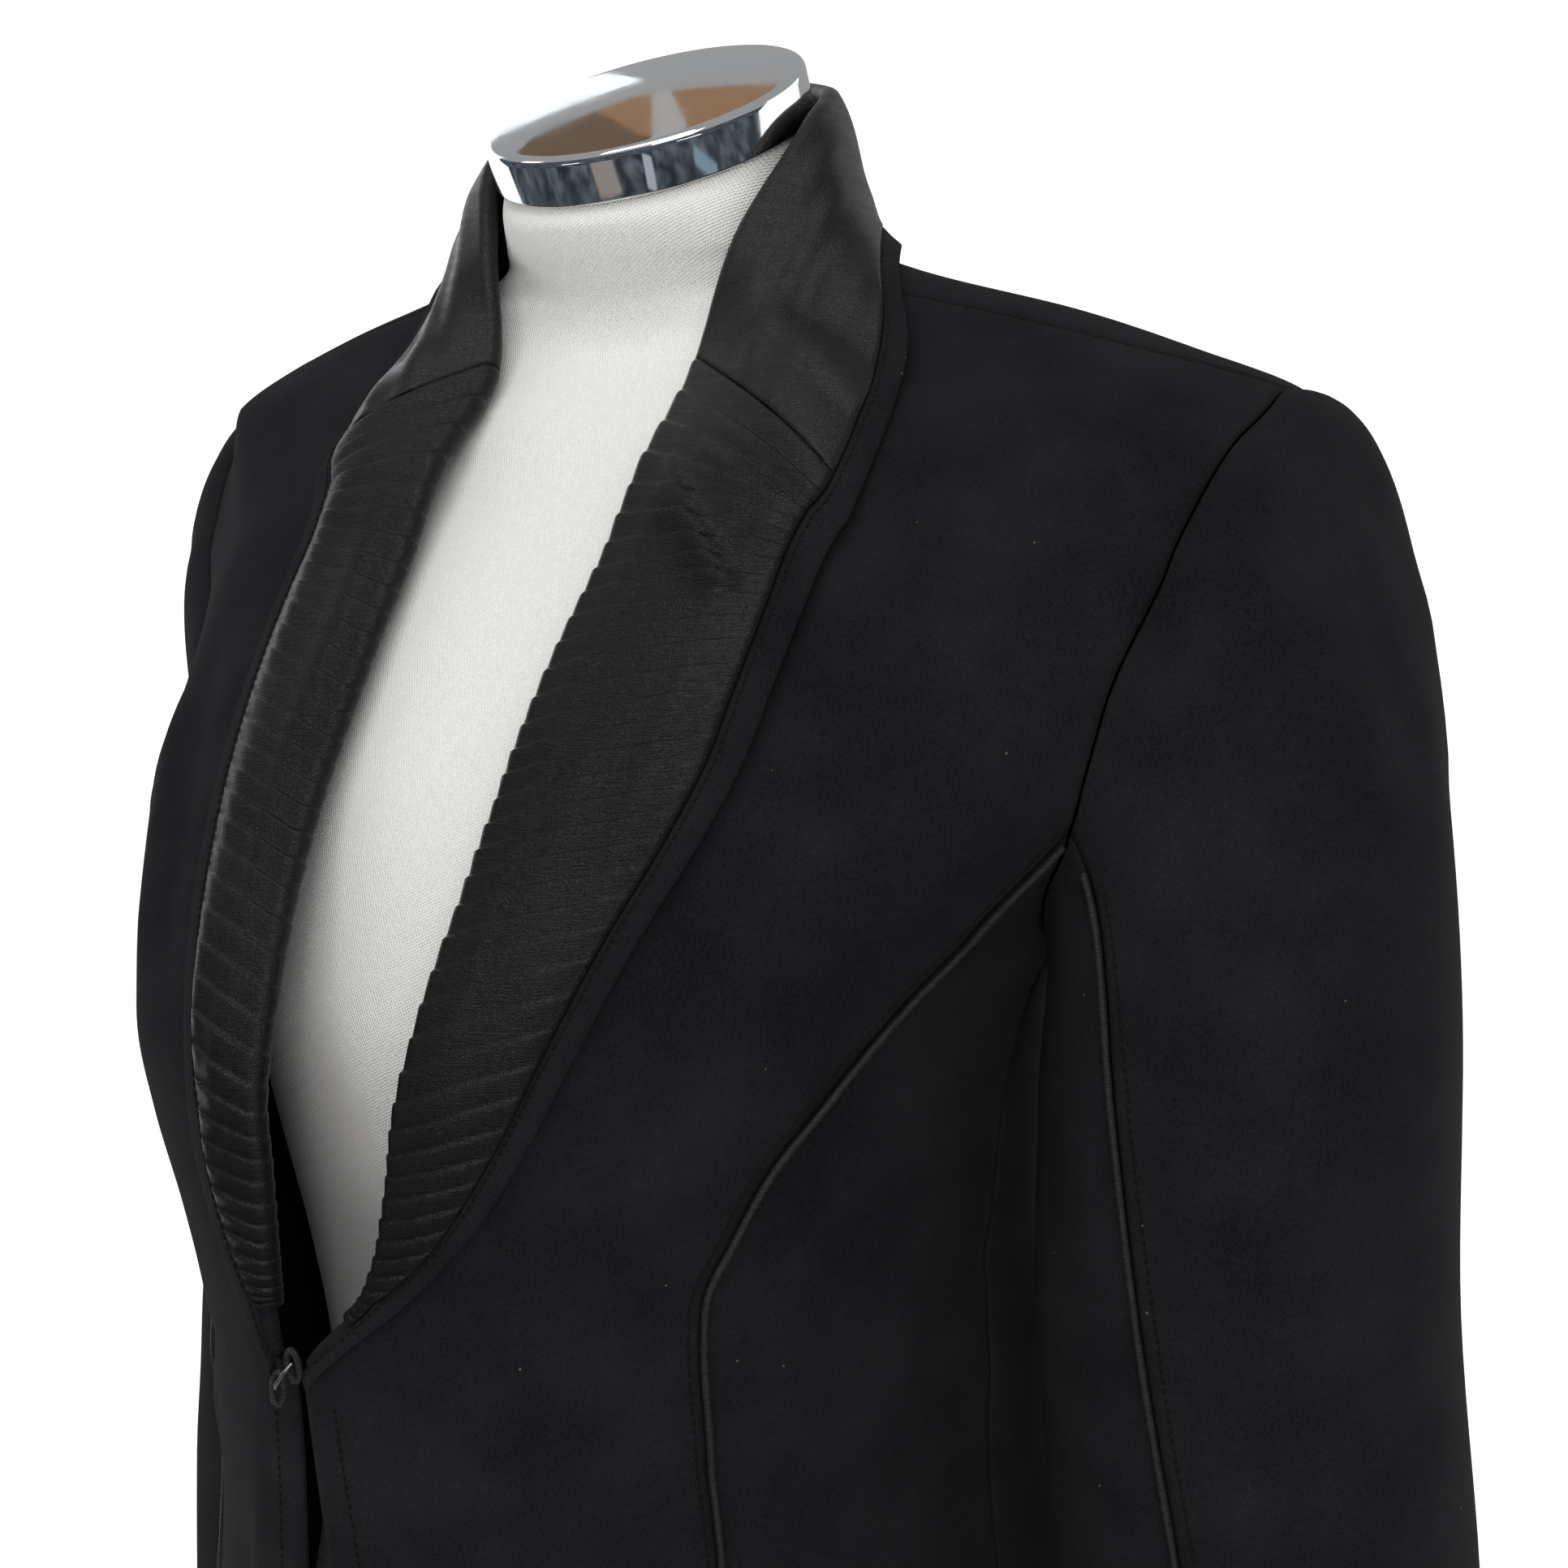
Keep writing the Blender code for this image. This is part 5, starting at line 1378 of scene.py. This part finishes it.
for side in "LR":
    outer, inner = PANEL_GRIDS["front_centre", side]
    first = SHOULDER_INDEX * FRONT_FINENESS
    beside = outer[first:, ::-1], inner[first:, ::-1]
    add_stitches(f"stitches_princess_{side}", *offset_line(beside, BESIDE_PRINCESS), side)
    first = len(outer) - (EDGE_STEPS * FRONT_FINENESS + 1)
    edge = outer[first:], inner[first:]
    add_stitches(f"stitches_front_{side}", *offset_line(edge, BESIDE_FRONT), side)
    top_piece = [grid[SLEEVE_ROW_START:] for grid in SLEEVE_GRIDS["sleeve_top", side]]
    add_stitches(f"stitches_sleeve_{side}", *offset_line(top_piece, BESIDE_SLEEVE), side)
    rows = finer(KEY_ROWS[KEY_ROWS <= COLLAR_ROW + 3], 12)
    _, _, size = shawl(side, rows)
    beyond = (BEYOND_SATIN + BEYOND_MORE * size) / np.maximum(size, NARROWEST)
    shares = (band_share(size) + beyond)[:, None]
    middle, ways, _ = leaf_columns(side, rows, lambda _: shares, FIRST_UPPER)
    on_band = middle[:, 0] + ways[:, 0] * (LEAF / 2 + BAND_ROW_LIFT * (LAYER_GAP + SATIN))
    add_stitches(f"stitches_band_{side}", on_band, ways[:, 0], side)

# %% [markdown]
# ## Hook and loops
# The fronts meet at one point. A twisted cord loop comes out of each edge, and a small steel hook
# joins the two. Each loop is three strands wound round one line, which looks like real twisted
# cord at any distance, where one plain tube would look like wire.

# %% Closure
# Columns: side, centre x and z, half width, half height, rise of the middle.
CORD_LOOPS = (
    ("L", 0.0035, -0.3035, 0.0022, 0.0050, -0.0006),
    ("R", -0.0030, -0.3120, 0.0022, 0.0048, 0.0006),
)
CORD_STANDS_OUT = 0.0052
STRAND_RADIUS = 0.00048
STRAND_REACH = 0.00050
STRANDS = 3
TWISTS = 9
LOOP_STEPS = 120
HOOK_RADIUS = 0.0006
# Columns: x, distance in front of the edge, z.
HOOK = (
    (0.0030, 0.0052, -0.3030),
    (0.0016, 0.0078, -0.3056),
    (0.0002, 0.0084, -0.3080),
    (-0.0012, 0.0078, -0.3100),
    (-0.0026, 0.0052, -0.3122),
)
front = float(body(1.0, -0.3035)[1])
for side, x, z, half_width, half_height, rise_by in CORD_LOOPS:
    angle = np.linspace(0, 2 * np.pi, LOOP_STEPS, endpoint=False)
    y = front - CORD_STANDS_OUT + rise_by * np.sin(angle)
    middle = np.stack([x + half_width * np.cos(angle), y, z + half_height * np.sin(angle)], -1)
    outward = np.stack([np.cos(angle), 0 * angle, np.sin(angle)], -1)
    strands = []
    for strand in range(STRANDS):
        turn = angle * TWISTS + 2 * np.pi * strand / STRANDS
        round_cord = np.cos(turn)[:, None] * outward + np.sin(turn)[:, None] * np.array([0.0, 1.0, 0.0])
        strands.append(tube(middle + STRAND_REACH * round_cord + NECK, STRAND_RADIUS, 8, closed=True))
    made = add_tubes(f"cord_loop_{side}_twisted", strands, CORD)
    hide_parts(f"cord_loop_{side}")
wire = smoothed([(x, front - out, z) for x, out, z in HOOK], 40)
made = add_tubes("hook_wire", [tube(wire + NECK, HOOK_RADIUS, 14)], STEEL)
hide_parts("hook")
print("closure at", np.round(np.array([0.0, front, -0.3075]) + NECK, 3))

# %% [markdown]
# ## The form under the blazer
# A counter-top form is a padded torso with a stretched knit cover and no limbs. It is a stack of
# uneven ovals like the body above, only smaller, and its neck leans forward. Reading the same
# stations at a fine step gives a smooth skin. A Subdivision Surface would shrink it a little.

# %% Form
FORM_BOTTOM = -0.575
# Columns: z, tilt, half width, centre y, depth in front, depth behind.
FORM = (
    (FORM_BOTTOM, 0.0, 0.138, -0.036, 0.098, 0.108),
    (-0.560, 0.0, 0.146, -0.036, 0.106, 0.116),
    (-0.500, 0.0, 0.137, -0.034, 0.106, 0.110),
    (-0.420, 0.0, 0.119, -0.032, 0.100, 0.094),
    (-0.360, 0.0, 0.110, -0.029, 0.104, 0.086),
    (-0.310, 0.0, 0.113, -0.023, 0.120, 0.084),
    (-0.260, 0.0, 0.121, -0.015, 0.140, 0.084),
    (-0.210, 0.0, 0.135, -0.004, 0.156, 0.084),
    (-0.160, 0.0, 0.150, 0.006, 0.148, 0.082),
    (-0.120, 0.0, 0.159, 0.013, 0.129, 0.080),
    (-0.090, 0.0, 0.165, 0.019, 0.110, 0.079),
    (-0.065, 0.0, 0.169, 0.023, 0.089, 0.077),
    (-0.045, 0.0, 0.166, 0.027, 0.076, 0.071),
    (-0.030, 0.0, 0.161, 0.0295, 0.061, 0.054),
    (-0.022, 0.0, 0.150, 0.0290, 0.053, 0.047),
    (-0.0155, 0.0, 0.134, 0.0275, 0.048, 0.042),
    (-0.009, 0.0, 0.114, 0.0245, 0.044, 0.038),
    (-0.002, 1.0, 0.084, 0.0190, 0.039, 0.032),
    (0.006, 4.0, 0.061, 0.0090, 0.035, 0.031),
    (0.015, 9.0, 0.0555, 0.0050, 0.039, 0.036),
    (0.030, 17.0, 0.0530, 0.0040, 0.047, 0.045),
    (0.0446, 24.0, 0.0520, 0.0066, 0.052, 0.052),
)
FORM_SIDES = 128


def form_rings():
    stations = np.column_stack([np.arange(len(FORM)), FORM])
    angles = np.linspace(0, 2 * np.pi, FORM_SIDES, endpoint=False)
    rings = []
    for z, tilt, width, centre, front_depth, behind in at_key(stations, finer(np.arange(len(FORM)), 6)):
        reach = np.where(np.cos(angles) > 0, front_depth, behind) * np.cos(angles)
        lean = math.radians(tilt)
        x = width * np.sin(angles)
        rings.append(np.stack([x, centre - reach * math.cos(lean), z - reach * math.sin(lean)], -1))
    return np.stack(rings) + NECK


rings = form_rings()
lowest = list(range(FORM_SIDES))
highest = [(len(rings) - 1) * FORM_SIDES + i for i in lowest]
faces = ring_faces(len(rings), FORM_SIDES) + [lowest[::-1], highest]
smooth = np.array([True] * (len(faces) - 2) + [False, False])
made = add_object("form_torso_jersey", rings.reshape(-1, 3), faces, JERSEY, smooth)
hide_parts("form_torso")
print("form rings:", len(rings))

# %% [markdown]
# ## Cap and stand
# The cap, pole and base are turned metal. A turned thing is a profile spun round an axis, so only
# the profile needs care: its corners are rounded with small arcs, because a polished edge is what
# catches the light. The Screw modifier would do the same spin, without a choice of end faces.

# %% Turned metal
BASE_HEIGHT = 0.0120
CAP_CENTRE = (0.0, 0.000, 0.060)
CAP_HEIGHT = 0.0165
CAP_TILT = math.radians(24.0)
CAP_RADIUS = 0.0550
CAP_TOP = 0.0180
CAP_RISE = 0.0022
DOME_SHARES = np.linspace(0.9, 0.0, 10)
# Columns of each profile: radius, height, radius of the corner there.
CAP_DOME = tuple((CAP_RADIUS * share, CAP_TOP - CAP_RISE * share**2, 0.0) for share in DOME_SHARES)
CAP_PROFILE = ((0.0, 0.0, 0.0), (0.0548, 0.0, 0.0008), (CAP_RADIUS, 0.0158, 0.0030), *CAP_DOME)
BASE_PROFILE = (
    (0.0, 0.0, 0.0),
    (0.1150, 0.0, 0.0015),
    (0.1150, 0.0072, 0.0028),
    (0.0, BASE_HEIGHT, 0.0),
)
TURN_STEPS = 128
CORNER_STEPS = 8
SHARP = math.radians(50)


def rounded(profile):
    """The profile with an arc at each corner that has a radius."""
    points = [profile[0][:2]]
    for before, corner, after in zip(profile, profile[1:], profile[2:]):
        at = np.array(corner[:2])
        if corner[2] == 0:
            points.append(corner[:2])
            continue
        back_way = unit(np.array(before[:2]) - at)
        on_way = unit(np.array(after[:2]) - at)
        half_angle = math.acos(float(np.clip(np.dot(back_way, on_way), -1, 1))) / 2
        cut = corner[2] / math.tan(half_angle)
        start, end = at + back_way * cut, at + on_way * cut
        for t in np.linspace(0, 1, CORNER_STEPS + 1):
            points.append(tuple(start * (1 - t) ** 2 + at * 2 * t * (1 - t) + end * t**2))
    return points + [profile[-1][:2]]


def add_turned(name, profile, material, centre, tilt=0.0):
    angles = np.linspace(0, 2 * np.pi, TURN_STEPS, endpoint=False)
    circle = np.stack([np.cos(angles), np.sin(angles), 0 * angles], -1)
    inner = [(radius, height) for radius, height in profile if radius > 0]
    rings = np.concatenate([radius * circle + (0, 0, height) for radius, height in inner])
    points = np.concatenate([rings, [(0, 0, profile[0][1]), (0, 0, profile[-1][1])]])
    lean = np.array(Matrix.Rotation(tilt, 3, "X"))
    points = points @ lean.T + np.asarray(centre)
    faces = ring_faces(len(inner), TURN_STEPS, tips=True)
    made = add_object(name, points, faces, material, np.ones(len(faces), bool))
    made.data.set_sharp_from_angle(angle=SHARP)
    print(f"{name}: {len(faces)} faces")
    return made


foot = BASE_HEIGHT + SEAM_GAP
pole_top = float(NECK[2]) + FORM_BOTTOM - SEAM_GAP - foot
POLE_PROFILE = (
    (0.0, 0.0, 0.0), (0.0200, 0.0, 0.0006), (0.0200, 0.0065, 0.0020),
    (0.0145, 0.0120, 0.0030), (0.0140, 0.0200, 0.0), (0.0140, pole_top, 0.0005), (0.0, pole_top, 0.0),
)
lean = np.array([0.0, -math.sin(CAP_TILT), math.cos(CAP_TILT)])
for name, profile, centre, tilt in (
    ("stand_base", BASE_PROFILE, (0, 0, 0), 0.0),
    ("stand_pole", POLE_PROFILE, (0, 0, foot), 0.0),
    ("neck_cap", CAP_PROFILE, np.array(CAP_CENTRE) - lean * CAP_HEIGHT + NECK, CAP_TILT),
):
    made = add_turned(f"{name}_turned", rounded(profile), CHROME, centre, tilt)
    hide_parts(name)

# %% [markdown]
# ## Floor, backdrop and light
# The photo is a cut-out on white. A pale floor that curves up behind gives the same without an
# edge. Black cloth needs soft light from large areas: one softbox from the camera's right and
# above, one overhead for the shoulders, a weak one from the left, and a dim room for the rest.

# %% Studio
FLOOR_REACH = 6.0
FLOOR_SIDE = 8.0
WALL_HEIGHT = 5.0
COVE = 1.6
COVE_ANGLES = np.linspace(0.1, 1.57, 12)
FLOOR_GREY, WHITE = (0.88, 0.88, 0.88), (1.0, 1.0, 1.0)
FLOOR_GLOW = 0.62
ROOM_LIGHT = 0.36


def add_scenery(name, points, faces, material_name, colour, glow, strength):
    mesh = bpy.data.meshes.new(name)
    mesh.from_pydata([tuple(point) for point in points], [], faces)
    made = bpy.data.objects.new(name, mesh)
    bpy.context.scene.collection.objects.link(made)
    material, _, shader = new_material(
        material_name, colour, 0.9, Specular_IOR_Level=0.0, Emission_Strength=strength
    )
    shader.inputs["Emission Color"].default_value = (*glow, 1.0)
    mesh.materials.append(material)
    return made


sweep = [(-FLOOR_REACH, 0.0), (FLOOR_REACH - COVE, 0.0)]
for angle in COVE_ANGLES:
    sweep.append((FLOOR_REACH - COVE + COVE * math.sin(angle), COVE - COVE * math.cos(angle)))
sweep.append((FLOOR_REACH, WALL_HEIGHT))
corners = [(x, y, z) for y, z in sweep for x in (-FLOOR_SIDE, FLOOR_SIDE)]
strips = [(2 * i, 2 * i + 1, 2 * i + 3, 2 * i + 2) for i in range(len(sweep) - 1)]
floor = add_scenery("floor", corners, strips, "pale_floor", FLOOR_GREY, WHITE, FLOOR_GLOW)
floor.data.shade_smooth()
floor.visible_glossy = False

world = bpy.data.worlds.new("room")
bpy.context.scene.world = world
world.use_nodes = True
tree = world.node_tree
room = tree.nodes["Background"]
white = tree.nodes.new("ShaderNodeBackground")
mix = tree.nodes.new("ShaderNodeMixShader")
path = tree.nodes.new("ShaderNodeLightPath")
room.inputs["Color"].default_value = (0.98, 0.99, 1.0, 1.0)
room.inputs["Strength"].default_value = ROOM_LIGHT
white.inputs["Color"].default_value = (1.0, 1.0, 1.0, 1.0)
tree.links.new(path.outputs["Is Camera Ray"], mix.inputs[0])
tree.links.new(room.outputs[0], mix.inputs[1])
tree.links.new(white.outputs[0], mix.inputs[2])
tree.links.new(mix.outputs[0], tree.nodes["World Output"].inputs["Surface"])
bpy.context.scene.view_settings.view_transform = "Standard"


CHEST = (0.0, 0.0, 0.62)
# Columns: name, place, width and height, power in watts.
SOFTBOXES = (
    ("softbox_right", (1.10, -1.25, 1.60), (0.9, 1.2), 13.5),
    ("softbox_above", (0.10, -0.85, 2.1), (1.0, 0.7), 12.0),
    ("softbox_left", (-1.6, -0.9, 1.1), (0.5, 1.4), 4.0),
)
for name, at, size, power in SOFTBOXES:
    data = bpy.data.lights.new(name, "AREA")
    data.shape = "RECTANGLE"
    data.size, data.size_y = size
    data.energy = power
    made = bpy.data.objects.new(name, data)
    made.location = at
    made.rotation_euler = (Vector(CHEST) - Vector(at)).to_track_quat("-Z", "Y").to_euler()
    bpy.context.scene.collection.objects.link(made)
print("lights:", len(SOFTBOXES))

# %% [markdown]
# ## What the chrome sees
# Chrome has no colour of its own, so a room has to be there for it. The front of the cap mirrors
# the low dark part of a room with its windows, its top mirrors the ceiling with one brown thing,
# and its two ends mirror pale walls. Plain cards that only mirrors can see stand in for that.

# %% Cards for the mirror
CAP = np.array(CAP_CENTRE) + NECK


def mottle(material, colour):
    """Blotches of light and dark, like the things in a room out of focus."""
    tree = material.node_tree
    blotches = noise(tree, place(tree, (0, 0, 0), (1.0, 1.0, 1.6)), 4.5, 3.0, 0.6)
    dark, light = tuple(c * 0.25 for c in colour), tuple(min(1.0, c * 4.0) for c in colour)
    shades = spread(tree, blotches, dark, light, 0.42, 0.70)
    tree.links.new(shades, tree.nodes["Principled BSDF"].inputs["Emission Color"])


def stage_plane(name, corners, colour, strength):
    """A flat card that only mirrors can see."""
    face = tuple(range(len(corners)))
    made = add_scenery(name, corners, [face], name, colour, colour, strength)
    made.visible_camera = False
    made.visible_diffuse = False
    made.visible_shadow = False
    made.visible_transmission = False
    return made


def card(name, direction, distance, corners, colour, strength):
    """A flat card that faces the cap from this direction. Its corners are across and up, in metres."""
    away = unit(np.array(direction, float))
    across = unit(np.cross(away, (0.0, 0.0, 1.0)))
    upward = np.cross(across, away)
    at = CAP + away * distance
    return stage_plane(name, [at + across * i + upward * j for i, j in corners], colour, strength)


def square(width, height):
    return [(i * width / 2, j * height / 2) for i, j in ((-1, -1), (1, -1), (1, 1), (-1, 1))]


CEILING_WAY = (-0.543, 0.561, 0.625)
SHARED = [(0.044, -0.155), (0.115, -0.082), (0.20, 0.03), (0.20, 0.30)]
BROWN = [(-0.19, -0.05), (-0.17, -0.09), (-0.11, -0.148), *SHARED, (-0.19, 0.30)]
COPPER = [(-0.01, -0.153), *SHARED, (0.03, 0.30), (-0.03, 0.05)]
STRIPE = [(0.066, -0.135), (0.085, -0.113), (-0.02, 0.30), (-0.10, 0.30)]
# Columns: direction from the cap, distance, corners, colour, strength.
CARDS = (
    ("card_brown", CEILING_WAY, 1.50, BROWN, (0.075, 0.052, 0.036), 1.0),
    ("card_copper", CEILING_WAY, 1.49, COPPER, (0.150, 0.088, 0.052), 1.0),
    ("card_stripe", CEILING_WAY, 1.48, STRIPE, (0.200, 0.196, 0.190), 1.0),
    ("card_window_a", (-0.42, -0.86, -0.34), 1.30, square(0.30, 0.09), (1.0, 1.0, 1.0), 0.9),
    ("card_window_b", (0.86, -0.50, -0.22), 1.30, square(0.40, 0.09), (1.0, 1.0, 1.0), 0.9),
    ("card_glimmer_a", (-0.05, -0.76, -0.60), 1.25, square(0.34, 0.24), (0.16, 0.14, 0.13), 1.0),
    ("card_glimmer_b", (0.44, -0.68, -0.62), 1.25, square(0.12, 0.18), (0.22, 0.23, 0.26), 1.0),
    ("card_glimmer_c", (0.86, -0.24, -0.45), 1.25, square(0.30, 0.10), (0.12, 0.17, 0.20), 1.0),
)
for name, direction, distance, corners, colour, strength in CARDS:
    card(name, direction, distance, corners, colour, strength)
# Columns: name, angles round the cap from the front, start and end, bottom, top, colour.
WALLS = (
    ("wall_dark", -92.0, 116.0, -1.80, 0.42, (0.030, 0.036, 0.042)),
    ("wall_left", -140.0, -92.0, -1.80, 0.90, (0.62, 0.64, 0.66)),
    ("wall_right", 116.0, 165.0, -1.80, 0.90, (0.66, 0.67, 0.68)),
)
WALL_AWAY = 1.6
WALL_EDGES = 12
for name, first, last, bottom, top, colour in WALLS:
    turns = np.radians(np.linspace(first, last, WALL_EDGES))
    for i, (a, b) in enumerate(zip(turns, turns[1:])):
        ends = [(CAP[0] + WALL_AWAY * math.sin(c), CAP[1] - WALL_AWAY * math.cos(c)) for c in (a, b)]
        low_edge = [(*end, CAP[2] + bottom) for end in ends]
        high_edge = [(*end, CAP[2] + top) for end in reversed(ends)]
        made = stage_plane(f"{name}_{i}", low_edge + high_edge, colour, 1.0)
        if name == "wall_dark":
            mottle(made.data.materials[0], colour)
print("cards:", len(CARDS), "walls:", len(WALLS))
